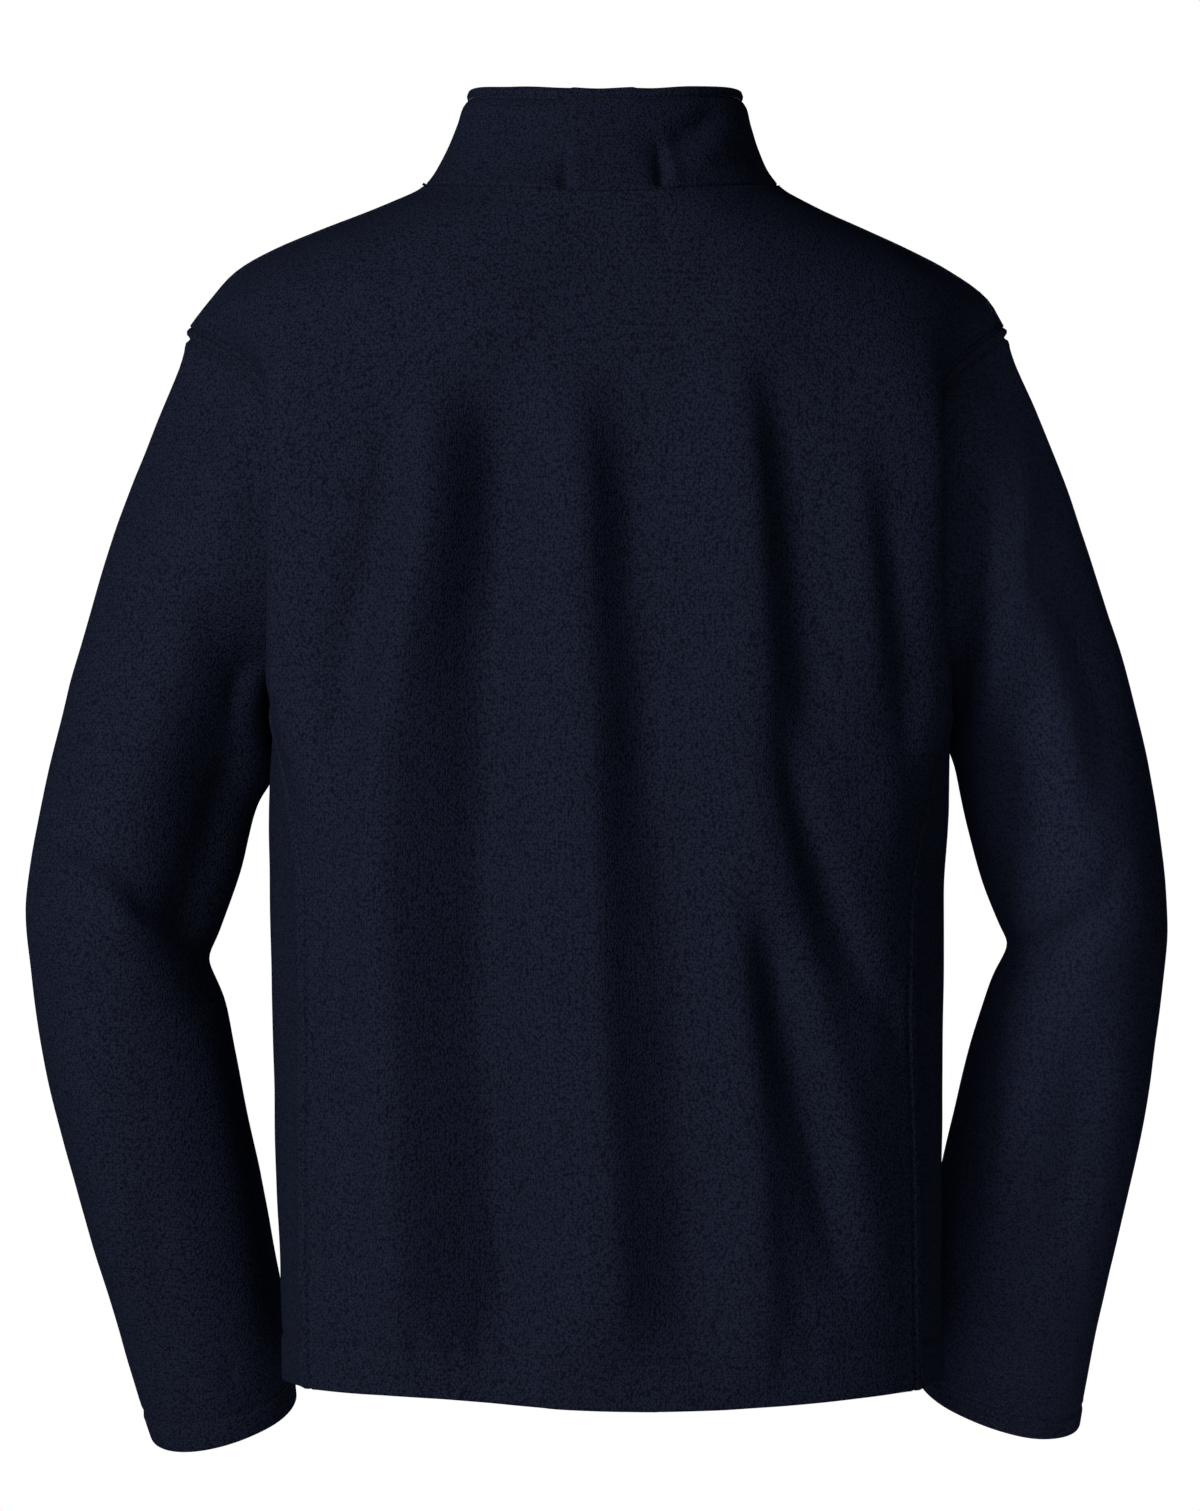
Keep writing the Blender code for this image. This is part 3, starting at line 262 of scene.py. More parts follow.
# Folds and creases. Facing is 1 on the side seen from behind and -1 on the side seen from the front.
# Height is up from the cloth, so a trough's is negative. The half widths are those to the left and the
# right of the line as it runs, seen with +X to the right. Sharp is 0 for a soft roll and 1 for a crease.
# The line is x and z of its points.
FOLDS = {
    "back_panel": (
        # facing, height, half width left, right, sharp, line
        # beside the left armhole, down to the side
        (
            1, 13, 14, 22, 0.0,
            ((84, -105), (93, -140), (99, -206), (112, -272), (122, -338), (122, -420), (118, -520),
             (112, -690)),
        ),
        (1, -6, 12, 14, 0.1, ((112, -120), (122, -190), (138, -250), (150, -320), (158, -380))),
        # the deep trough left of the middle
        (
            1, -18, 26, 20, 0.0,
            (
                (58, -85), (57, -140), (58, -206), (65, -272), (65, -338),
                (66, -404), (66, -470), (62, -536), (54, -700),
            ),
        ),
        (1, -2.5, 7, 7, 0.8, ((66, -556), (59, -598), (57, -636))),
        # the broad middle
        (
            1, 13, 28, 17, 0.0,
            (
                (17, -92), (14, -150), (11, -206), (8, -272), (6, -338),
                (5, -404), (3, -470), (-1, -536), (-10, -690),
            ),
        ),
        (
            1, -8, 18, 26, 0.1,
            (
                (-6, -110), (-12, -160), (-17, -206), (-23, -272), (-28, -338),
                (-37, -404), (-42, -470), (-47, -560), (-52, -690),
            ),
        ),
        (
            1, 14, 30, 14, 0.0,
            ((-66, -80), (-79, -150), (-82, -206), (-85, -272), (-91, -338), (-103, -395),
             (-118, -450)),
        ),
        # right of the middle, running out to the side
        (1, -4.5, 10, 12, 0.1, ((-88, -95), (-97, -170), (-103, -206), (-109, -272), (-118, -345))),
        (
            1, -10, 18, 9, 0.3,
            ((-88, -270), (-97, -316), (-108, -360), (-125, -404), (-147, -448), (-172, -494)),
        ),
        (1, 6, 18, 12, 0.0, ((-132, -120), (-138, -160), (-144, -206), (-147, -272), (-150, -335))),
        (1, -5, 9, 10, 0.1, ((-150, -150), (-158, -206), (-167, -272), (-172, -330), (-174, -380))),
        (1, 9, 24, 14, 0.0, ((-66, -370), (-78, -470), (-82, -536), (-86, -600), (-92, -690))),
        (1, -11, 14, 11, 0.2, ((-78, -375), (-100, -470), (-112, -520), (-122, -560), (-140, -640))),
        (1, 5, 14, 14, 0.0, ((-100, -390), (-120, -470), (-134, -530), (-148, -620))),
        # tucks at the collar's foot
        (1, -2, 4, 4, 0.6, ((19, -14), (19, -24), (20, -42))),
        (1, -2, 4, 4, 0.6, ((-31, -14), (-32, -26), (-35, -46))),
        # small puckers over the hem's stitching
        (1, -1.6, 3.5, 3.5, 0.3, ((101, -634), (101, -650), (100, -668))),
        (1, -1.3, 3, 3, 0.3, ((84, -640), (84, -655), (83, -670))),
        (1, -1.6, 3.5, 3.5, 0.3, ((69, -630), (70, -648), (70, -668))),
        (1, -1.2, 3, 3, 0.3, ((45, -638), (46, -652), (46, -668))),
        (1, -1.2, 3, 3, 0.3, ((-8, -645), (-8, -658), (-9, -674))),
        (1, -1.1, 3, 3, 0.3, ((-60, -640), (-61, -655), (-61, -672))),
        (1, -1.5, 3.5, 3.5, 0.3, ((-96, -638), (-98, -655), (-98, -672))),
        (1, -1.3, 3.5, 3.5, 0.3, ((-113, -634), (-114, -650), (-114, -668))),
    ),
    "front_left": (
        (-1, 7, 18, 18, 0.0, ((122, -118), (110, -210), (112, -300), (128, -385))),
        (-1, -7, 17, 17, 0.2, ((84, -112), (73, -210), (76, -320), (92, -435))),
        (-1, 4, 18, 18, 0.0, ((44, -140), (42, -260), (40, -420), (34, -640))),
        (-1, 5, 18, 18, 0.0, ((147, -330), (137, -450), (121, -640))),
        (-1, -4, 12, 12, 0.3, ((150, -140), (146, -210), (150, -300))),
        (-1, -4, 13, 13, 0.2, ((96, -440), (90, -540), (82, -650))),
        (-1, -3, 11, 11, 0.2, ((22, -180), (20, -330), (24, -520))),
        (-1, -1.4, 3.5, 3.5, 0.3, ((118, -636), (118, -650), (117, -670))),
        (-1, -1.2, 3, 3, 0.3, ((64, -640), (65, -655), (65, -672))),
    ),
    "front_right": (
        (-1, 7, 18, 18, 0.0, ((-125, -130), (-114, -220), (-113, -310), (-127, -405))),
        (-1, -7, 17, 17, 0.2, ((-87, -120), (-77, -225), (-80, -340), (-98, -465))),
        (-1, 4, 18, 18, 0.0, ((-46, -150), (-44, -280), (-42, -440), (-40, -650))),
        (-1, 5, 18, 18, 0.0, ((-153, -350), (-146, -470), (-131, -650))),
        (-1, -4, 12, 12, 0.3, ((-152, -150), (-149, -220), (-153, -310))),
        (-1, -4, 13, 13, 0.2, ((-100, -470), (-96, -560), (-90, -655))),
        (-1, -3, 11, 11, 0.2, ((-22, -200), (-21, -350), (-26, -540))),
        (-1, -1.3, 3.5, 3.5, 0.3, ((-116, -638), (-117, -652), (-117, -672))),
        (-1, -1.2, 3, 3, 0.3, ((-70, -640), (-70, -655), (-71, -672))),
    ),
    "sleeve_left": (
        # the head, with a crease from its seam
        (1, 5, 16, 16, 0.0, ((246, -112), (238, -170), (236, -240), (240, -300))),
        (1, -5, 8, 7, 0.3, ((206, -108), (216, -128), (230, -156))),
        (1, 4, 10, 12, 0.0, ((198, -118), (206, -140), (212, -190), (210, -250))),
        # the elbow: the upper arm falls away inwards, down to the edge of the forearm's cloth
        (
            1, -15, 42, 20, 0.0,
            ((196, -215), (203, -290), (208, -345), (214, -385), (222, -425), (230, -500)),
        ),
        (
            1, 12, 28, 7, 0.0,
            ((335, -365), (308, -384), (288, -393), (277, -402), (265, -419), (252, -428), (231, -437),
             (180, -462)),
        ),
        (1, 5, 26, 26, 0.0, ((300, -300), (276, -330), (258, -310), (244, -240))),
        (1, -2.5, 5, 6, 0.5, ((300, -442), (268, -438), (240, -437), (206, -440))),
        # the forearm, flat outside and falling away inside
        (1, 4, 20, 20, 0.0, ((294, -455), (284, -560), (263, -680))),
        (1, 3, 16, 16, 0.0, ((222, -450), (218, -520), (208, -600), (200, -720))),
        (1, -2, 10, 10, 0.3, ((266, -540), (254, -610), (242, -680))),
        (1, -1.4, 4, 4, 0.3, ((238, -672), (237, -685), (236, -698))),
        (1, -1.2, 4, 4, 0.3, ((216, -668), (215, -680), (214, -690))),
        # the side seen from the front
        (-1, 5, 18, 18, 0.0, ((250, -120), (243, -200), (244, -305))),
        (-1, -6.5, 10, 10, 0.5, ((300, -428), (268, -436), (232, -440))),
        (-1, 5, 12, 12, 0.0, ((300, -402), (270, -412), (238, -416))),
        (-1, -4.5, 9, 9, 0.5, ((304, -392), (276, -388), (240, -398))),
        (-1, -4.5, 12, 12, 0.3, ((214, -150), (222, -220), (214, -330))),
        (-1, -3.5, 10, 10, 0.4, ((296, -470), (266, -478), (236, -470))),
        (-1, -3.5, 16, 16, 0.2, ((282, -500), (262, -580), (244, -670))),
    ),
    "sleeve_right": (
        (1, -9, 12, 9, 0.0, ((-204, -104), (-205, -160), (-204, -220), (-203, -280), (-204, -340))),
        (1, 11, 26, 16, 0.0, ((-232, -112), (-230, -170), (-226, -230), (-224, -290), (-230, -350))),
        # the elbow: a ridge that comes down the outside and turns in, and the trough round it
        (1, 6.5, 13, 13, 0.0, ((-232, -215), (-247, -262), (-258, -320), (-268, -365), (-271, -396))),
        (1, 8, 11, 12, 0.0, ((-272, -385), (-264, -402), (-250, -411), (-237, -420), (-222, -434))),
        (1, -7, 12, 10, 0.4, ((-286, -392), (-276, -412), (-258, -425), (-242, -437), (-226, -450))),
        (1, -7, 14, 16, 0.1, ((-252, -200), (-272, -250), (-286, -310), (-294, -365))),
        (1, -3, 7, 7, 0.5, ((-294, -372), (-288, -392), (-282, -408))),
        (1, -3.5, 10, 10, 0.2, ((-222, -290), (-228, -350), (-232, -400))),
        # the forearm, with its light along the inside
        (1, 9, 18, 18, 0.0, ((-240, -455), (-232, -550), (-224, -655))),
        (1, -7, 16, 14, 0.1, ((-276, -440), (-272, -520), (-260, -602), (-250, -650))),
        (1, 2.5, 14, 14, 0.0, ((-302, -460), (-296, -540), (-282, -640))),
        (1, -1.3, 4, 4, 0.3, ((-236, -664), (-237, -676), (-238, -688))),
        (1, -1.2, 4, 4, 0.3, ((-262, -676), (-262, -690), (-263, -702))),
        # the side seen from the front
        (-1, 5, 18, 18, 0.0, ((-246, -120), (-239, -200), (-242, -305))),
        (-1, -6.5, 10, 10, 0.5, ((-300, -430), (-268, -436), (-236, -438))),
        (-1, 5, 12, 12, 0.0, ((-296, -404), (-270, -412), (-242, -414))),
        (-1, -4.5, 9, 9, 0.5, ((-298, -388), (-272, -386), (-240, -396))),
        (-1, -4.5, 12, 12, 0.3, ((-210, -160), (-217, -230), (-210, -330))),
        (-1, -3.5, 10, 10, 0.4, ((-294, -474), (-264, -482), (-236, -474))),
        (-1, -3.5, 16, 16, 0.2, ((-286, -510), (-266, -590), (-250, -680))),
    ),
    "collar": (
        # tucks at the foot, and a crease that runs from one of them to the corner
        (1, -5, 9, 7, 0.2, ((-31, 12), (-44, 23), (-58, 33), (-70, 46))),
        (1, 3, 8, 8, 0.0, ((-42, 4), (-58, 14), (-78, 26))),
        (1, 1.8, 3, 5, 0.0, ((15, 16), (15, 4), (16, -12))),
        (1, -5.5, 5, 2, 0.2, ((20, 18), (20, 6), (20, -6), (21, -22))),
        (1, 1.8, 3, 5, 0.0, ((-38, 14), (-39, 4), (-39, -12))),
        (1, -5.5, 5, 2, 0.2, ((-31, 26), (-33, 12), (-34, -2), (-34, -22))),
        (-1, -1.6, 8, 8, 0.3, ((30, -30), (44, -16), (60, 8))),
        (-1, -1.4, 8, 8, 0.3, ((-28, -34), (-42, -22), (-58, 0))),
    ),
}
FOLD_FADE = 80.0  # how far along its line a fold takes to reach its height from each end
FOLD_ENDS = 0.4  # or this share of the line, if that is shorter
FOLD_STEPS = 32  # straight steps along a fold's line
SEAM_FADE = 20.0  # how near a seam the folds fade, so that the pieces still meet
SMALL_FOLD = 5.0  # a fold no wider than this is a crease or tuck
SMALL_FADE = 3.0  # and fades only this near a seam

# Slow unevenness of the cloth: three waves.
WAVES = (
    # length along x, along z, turn, height
    (71, 163, 0.4, 0.45),
    (43, 117, 2.1, 0.25),
    (29, 67, 4.0, 0.1),
)

TAPE_OUTER = -3.8
TAPE_THICKNESS = 1.0
TAPE_REACH = 13.0
TAPE_FOOT = 1.5
TEETH_FOOT = 12.3
COIL_OUTER = -2.4
COIL_WIDTH = 3.0
TOOTH_PITCH = 1.5
SLIDER_BELOW_TOP = 14.0
BOX_AT = 4.0
OPEN_COIL = 1.3
ZIP_TOP_GAP = 4.0
TAPE_SECTION = (
    # x, out
    (0.9, TAPE_OUTER + 0.35),
    (COIL_WIDTH + 0.3, TAPE_OUTER + 0.35),
    (COIL_WIDTH + 0.8, TAPE_OUTER),
    (TAPE_REACH, TAPE_OUTER),
    (TAPE_REACH, TAPE_OUTER - TAPE_THICKNESS),
    (0.9, TAPE_OUTER - TAPE_THICKNESS),
)
TOOTH = (
    # across, out, up: a rounded coil turn with a wider head
    (0.25, 0.0, -0.42),
    (0.25, 0.0, 0.42),
    (1.0, 0.55, 0.5),
    (2.6, 0.4, 0.42),
    (3.0, -0.2, 0.3),
    (3.0, -0.2, -0.3),
    (2.6, 0.4, -0.42),
    (1.0, 0.55, -0.5),
)

STITCH_PITCH = 3.0
STITCH_LENGTH = 2.3
THREAD = 0.34  # radius
THREAD_SIDES = 5
STITCH_FORM = (
    # share of its length, share of the thread's radius
    (0.0, 0.35),
    (0.25, 1.0),
    (0.75, 1.0),
    (1.0, 0.35),
)


def spline(knots, points, at):
    """Points at parameters `at` of the smooth curve that passes through `points` at `knots`."""
    knots = np.asarray(knots, float)
    points = np.asarray(points, float)
    at = np.asarray(at, float)
    step = np.diff(knots)
    slope = np.diff(points, axis=0) / step[:, None]
    tangent = np.empty_like(points)
    tangent[0] = slope[0]
    tangent[-1] = slope[-1]
    share = (step[1:] / (step[:-1] + step[1:]))[:, None]
    tangent[1:-1] = slope[:-1] * share + slope[1:] * (1 - share)
    k = np.clip(np.searchsorted(knots, at, side="right") - 1, 0, len(step) - 1)
    t = ((at - knots[k]) / step[k])[:, None]
    h = step[k][:, None]
    start = (2 * t**3 - 3 * t**2 + 1) * points[k] + (t**3 - 2 * t**2 + t) * h * tangent[k]
    end = (3 * t**2 - 2 * t**3) * points[k + 1] + (t**3 - t**2) * h * tangent[k + 1]
    return start + end


def unit(vectors):
    return vectors / np.maximum(np.linalg.norm(vectors, axis=-1, keepdims=True), 1e-9)


def smooth(share):
    share = np.clip(share, 0, 1)
    return share * share * (3 - 2 * share)


def walked(points):
    return np.concatenate([[0], np.cumsum(np.linalg.norm(np.diff(points, axis=0), axis=1))])


def stops(low, high, step, extra=()):
    """Positions from low to high about `step` apart, with the extra ones among them."""
    even = np.linspace(low, high, int(round((high - low) / step)) + 1)[1:-1]
    extra = [e for e in extra if low < e < high]
    kept = [x for x in even if all(abs(x - e) > 0.45 * step for e in extra)]
    return np.array(sorted([low, high, *kept, *extra]))


def across(controls, start, end, spans, mirror_end=False):
    """One row: points along the curve through its control points, at the distances `start` from its
    first end, at the distances `end` from its last one, and evenly between them."""
    controls = np.asarray(controls, float)
    last = len(controls) - 1
    if mirror_end:
        ghost = controls[-2] * (-1, 1, 1) + (2 * controls[-1][0], 0, 0)
        controls = np.vstack([controls, ghost])
    knots = walked(controls)
    dense = spline(knots, controls, np.linspace(0, knots[last], 160))
    walk = walked(dense)
    near = np.concatenate([[0], start])
    far = walk[-1] - np.concatenate([[0], end])[::-1]
    between = np.linspace(near[-1], far[0], spans + 1)[1:-1]
    at = np.concatenate([near, between, far])
    return np.column_stack([np.interp(at, walk, dense[:, k]) for k in range(3)])


def line(table, columns, heights):
    table = np.asarray(table, float)
    return spline(table[:, 0], table[:, columns], heights)


def edge_line(heights, front):
    """The edge of a left panel: side seam, armhole and shoulder seam, with corners between them."""
    table = np.asarray([row[:4] for row in BACK], float)
    armhole = np.asarray(ARMHOLE_FRONT, float) if front else table
    points = []
    for height in heights:
        if height <= UNDERARM:
            part = table[table[:, 0] <= UNDERARM]
        elif height < SHOULDER:
            part = armhole[(armhole[:, 0] >= UNDERARM) & (armhole[:, 0] <= SHOULDER)]
        else:
            part = table[table[:, 0] >= SHOULDER]
        points.append(spline(part[:, 0], part[:, 1:], [height])[0])
    return np.array(points)


WIDEST = 190.0  # where the right half hangs wider by the whole of its extra x
SAG_FULL = 60.0  # from here outwards the right half hangs lower by the whole of its drop
SAG_END = 185.0
SAG_STEEP = 1.6


def to_right(points, heights):
    """The left half's points moved to the right half, which hangs a little wider and lower."""
    extra, drop = line(RIGHT_HALF, [1, 2], heights).T
    far = points[..., 0]
    reach = np.clip((far - ZIP_HALF_GAP) / (WIDEST - ZIP_HALF_GAP), 0, None)
    sag = smooth(far / SAG_FULL) * np.clip(SAG_STEEP * (1 - far / SAG_END), 0, 1)
    level = (slice(None),) + (None,) * (far.ndim - 1)
    moved = points.copy()
    moved[..., 0] = -(far + extra[level] * reach)
    moved[..., 2] -= drop[level] * sag
    return moved


def back_controls(heights):
    centre = line(BACK, [10, 11], heights)
    centre = np.column_stack([np.zeros(len(centre)), centre])
    columns = [line(BACK, [k, k + 1, k + 2], heights) for k in (4, 7)]
    left = np.stack([edge_line(heights, False), *columns], axis=1)
    right = to_right(left, heights)
    return np.concatenate([left, centre[:, None], right[:, ::-1]], axis=1)


def front_controls(heights):
    zip_edge = line(FRONT, [10, 11], heights)
    zip_edge = np.column_stack([np.full(len(zip_edge), ZIP_HALF_GAP), zip_edge])
    columns = [edge_line(heights, True)]
    columns += [line(FRONT, [k, k + 1, k + 2], heights) for k in (1, 4, 7)]
    return np.stack(columns + [zip_edge], axis=1)


def back_grid(heights):
    rows = [across(row, SEAM_COLUMNS, SEAM_COLUMNS, BACK_SPANS) for row in back_controls(heights)]
    return np.array(rows)


def front_grid(heights, right):
    controls = front_controls(heights)
    if right:
        controls = to_right(controls, heights)
    rows = np.array([across(row, SEAM_COLUMNS, ZIP_COLUMNS, FRONT_SPANS, True) for row in controls])
    return rows if right else rows[:, ::-1]


def collar_top(base, neck_left, neck_right):
    """The collar's top edge, with a point over each point of the neck seam."""
    left = np.array([row[1:] for row in COLLAR_TOP], float)
    right = left[:-1] * (-1, 1, 1)
    right[:, 0] -= 3 * np.clip((np.abs(right[:, 0]) - ZIP_HALF_GAP) / 70, 0, 1)
    whole = np.concatenate([left, right[::-1]])
    knots = walked(whole)
    shoulder = 4
    marks = np.array([0, knots[shoulder], knots[-1 - shoulder], knots[-1]])
    walk = walked(base)
    seams = np.array([0, walk[neck_left], walk[neck_right], walk[-1]])
    return spline(knots, whole, np.interp(walk, seams, marks))


def sleeve_grid(armhole, top, table, stations, side):
    """Rings from the armhole to the cuff.

    `armhole` runs from the underarm up the back and down the front, and `top` is its highest point.
    """
    table = np.asarray(table, float)
    rings = spline(table[:, 0], table[:, 1:], stations)
    walk = walked(np.vstack([armhole, armhole[:1]]))
    angle = np.where(
        np.arange(len(armhole)) <= top,
        math.pi - math.pi * walk[:-1] / walk[top],
        -math.pi * (walk[:-1] - walk[top]) / (walk[-1] - walk[top]),
    )
    outer_x, outer_z, inner_x, inner_z, middle_y, half_depth, follow = rings.T
    half_y = np.zeros(len(rings))
    middle = np.column_stack([side * (outer_x + inner_x) / 2, middle_y, (outer_z + inner_z) / 2])
    half = np.column_stack([side * (outer_x - inner_x) / 2, half_y, (outer_z - inner_z) / 2])
    along = unit(np.gradient(middle, np.asarray(stations, float), axis=0))
    depth = unit(np.array([0, 1, 0]) - along[:, 1:2] * along) * half_depth[:, None]
    wide = half[:, None] * np.cos(angle)[None, :, None]
    ellipse = middle[:, None] + wide + depth[:, None] * np.sin(angle)[None, :, None]
    return ellipse + follow[:, None, None] * (armhole - ellipse[0])[None]


def wrapped(grid):
    return np.concatenate([grid[:, -1:], grid, grid[:, :1]], axis=1)


def normals(grid, closed, sign):
    if closed:
        wide = wrapped(grid)
        du = wide[:, 2:] - wide[:, :-2]
    else:
        du = np.gradient(grid, axis=1)
    return unit(np.cross(du, np.gradient(grid, axis=0))) * sign


class Piece:
    """A cloth piece: a grid of outer points, its wall, and the borders along which it is sewn."""

    def __init__(self, name, grid, sign=1, closed=False):
        self.name = name
        self.grid = grid
        self.sign = sign
        self.closed = closed
        self.wall = np.full(grid.shape[:2], WALL)
        self.runs = []
        self.seams = []
        self.free = []
        self.measure()

    def measure(self):
        """Distances along the cloth from each border."""
        along = np.linalg.norm(np.diff(self.grid, axis=1), axis=2)
        up = np.linalg.norm(np.diff(self.grid, axis=0), axis=2)
        rows, columns = self.grid.shape[:2]
        row = np.concatenate([np.zeros((rows, 1)), np.cumsum(along, axis=1)], axis=1)
        column = np.concatenate([np.zeros((1, columns)), np.cumsum(up, axis=0)])
        self.distance = {
            "first column": row,
            "last column": row[:, -1:] - row,
            "first row": column,
            "last row": column[-1:] - column,
        }

    def normals(self):
        return normals(self.grid, self.closed, self.sign)

    def cells_of(self, border):
        rows, columns = self.grid.shape[:2]
        if "column" in border:
            column = 0 if border == "first column" else columns - 1
            inward = 1 if column == 0 else -1
            return [((r, column), (r, column + inward)) for r in range(rows)]
        row = 0 if border == "first row" else rows - 1
        inward = 1 if row == 0 else -1
        cells = [((row, c), (row + inward, c)) for c in range(columns)]
        return cells + cells[:1] if self.closed else cells

    def sew(self, border, breaks=()):
        """Marks a border as sewn. `breaks` are the corners where the seam turns."""
        cells = self.cells_of(border)
        ends = [0, *breaks, len(cells) - 1]
        self.runs += [cells[a : b + 1] for a, b in zip(ends, ends[1:])]
        self.seams.append(border)

    def seam_fade(self, reach, borders=None):
        """0 on the seams, and 1 from `reach` inside them."""
        fade = np.ones(self.grid.shape[:2])
        for border in self.seams if borders is None else borders:
            fade = fade * smooth(self.distance[border] / reach)
        return fade

    def raise_by(self, out):
        self.grid = self.grid + self.normals() * out[..., None]

    def relax(self):
        """Evens the surface out away from its borders."""
        borders = self.seams + self.free
        mask = self.seam_fade(25, borders)[..., None]
        for _ in range(SMOOTHINGS):
            if self.closed:
                wide = wrapped(self.grid)
            else:
                wide = np.pad(self.grid, ((0, 0), (1, 1), (0, 0)), "edge")
            tall = np.pad(self.grid, ((1, 1), (0, 0), (0, 0)), "edge")
            mean = (wide[:, 2:] + wide[:, :-2] + tall[2:] + tall[:-2]) / 4
            self.grid = self.grid + 0.5 * mask * (mean - self.grid)

    def fold(self):
        """Raises the folds, and draws the cloth in towards each crease."""
        normal = self.normals()
        out = np.zeros(self.grid.shape[:2])
        small = np.zeros(self.grid.shape[:2])
        for facing, height, left, right, sharp, path in FOLDS.get(self.name, ()):
            raised = height * fold_shape(self.grid, normal[..., 1], facing, (left, right), sharp, path)
            if max(left, right) <= SMALL_FOLD:
                small += raised
            else:
                out += raised
        x, z = self.grid[..., 0], self.grid[..., 2]
        for long_x, long_z, turn, height in WAVES:
            bend = 1.3 * np.sin(2 * math.pi * z / (1.7 * long_z))
            wave = np.sin(2 * math.pi * x / long_x + turn + bend)
            out += height * wave * np.sin(2 * math.pi * z / long_z + 2 * turn + normal[..., 1])
        out = out * self.seam_fade(SEAM_FADE) + small * self.seam_fade(SMALL_FADE)
        self.grid = self.grid + normal * out[..., None]


def fold_shape(grid, toward, facing, widths, sharp, path):
    """From 0 to 1: how much of a fold's height each point of a grid gets."""
    path = np.asarray(path, float)
    knots = walked(path)
    points = spline(knots, path, np.linspace(0, knots[-1], FOLD_STEPS + 1))
    flat = grid[..., (0, 2)]
    gap = np.full(flat.shape[:2], np.inf)
    share = np.zeros(flat.shape[:2])
    width = np.ones(flat.shape[:2])
    for k, (start, step) in enumerate(zip(points, np.diff(points, axis=0))):
        offset = flat - start
        along = np.clip(offset @ step / (step @ step), 0, 1)
        away = np.linalg.norm(offset - along[..., None] * step, axis=-1)
        on_left = step[0] * offset[..., 1] - step[1] * offset[..., 0] > 0
        nearer = away < gap
        gap[nearer] = away[nearer]
        share[nearer] = (k + along[nearer]) / FOLD_STEPS
        width[nearer] = np.where(on_left, *widths)[nearer]
    ends = smooth(np.minimum(share, 1 - share) * knots[-1] / min(FOLD_FADE, FOLD_ENDS * knots[-1]))
    soft = np.exp(-((gap / width) ** 2))
    crease = np.exp(-(np.sqrt(gap**2 + 2.0) - math.sqrt(2.0)) / (0.8 * width))
    return (soft * (1 - sharp) + crease * sharp) * ends * smooth(facing * toward * 1.6)


def key_of(point):
    return tuple(np.round(point, 3))


def walls(pieces):
    """Each piece's outer and inner points, with a seam's wall shared by the pieces that meet."""
    own = {piece.name: piece.normals() for piece in pieces}
    meeting = {}
    for piece in pieces:
        for run in piece.runs:
            for cell, _ in run:
                found = meeting.setdefault(key_of(piece.grid[cell]), {})
                twice = piece.name in found and piece.seams[0] == "first row"
                found[piece.name] = own[piece.name][cell] * (2 if twice else 1)
    shared = {key: unit(sum(found.values())) for key, found in meeting.items()}
    slants = {
        key: max(min(float(unit(each) @ shared[key]) for each in found.values()), 1 / LONGEST_MITRE)
        for key, found in meeting.items()
    }
    made = {}
    for piece in pieces:
        normal = own[piece.name].copy()
        length = piece.wall.copy()
        away = {}
        for run in piece.runs:
            points = np.array([piece.grid[cell] for cell, _ in run])
            along = unit(np.gradient(points, axis=0))
            for i, (cell, inner) in enumerate(run):
                key = key_of(piece.grid[cell])
                meet = shared[key]
                normal[cell] = meet
                length[cell] = piece.wall[cell] / slants[key]
                side = unit(np.cross(along[i], meet))
                inward = piece.grid[inner] - piece.grid[cell]
                away.setdefault(cell, []).append(side if side @ inward > 0 else -side)
        shift = np.zeros_like(piece.grid)
        for cell, sides in away.items():
            total = np.sum(sides, axis=0)
            sharpness = max((1 + float(sides[0] @ sides[-1])) if len(sides) > 1 else 1.0, 0.5)
            shift[cell] = total / sharpness * SEAM_GAP / 2
        outer = piece.grid + shift
        inner = outer - normal * length[..., None]
        for border in piece.free:
            radius = length / 2
            near = np.clip(radius - piece.distance[border], 0, None)
            turn = (radius - np.sqrt(np.clip(radius**2 - near**2, 0, None)))[..., None]
            outer = outer - normal * turn
            inner = inner + normal * turn
        made[piece.name] = (outer, inner)
    return made


def add_object(name, points, faces, body="jacket", material=None, flat=False):
    mesh = bpy.data.meshes.new(name)
    mesh.from_pydata((np.asarray(points) * MM).tolist(), [], faces)
    mesh.validate()
    if not flat:
        mesh.shade_smooth()
    mesh.update()
    made = bpy.data.objects.new(name, mesh)
    bpy.context.scene.collection.objects.link(made)
    if material:
        mesh.materials.append(material)
    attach(made, body)
    return made


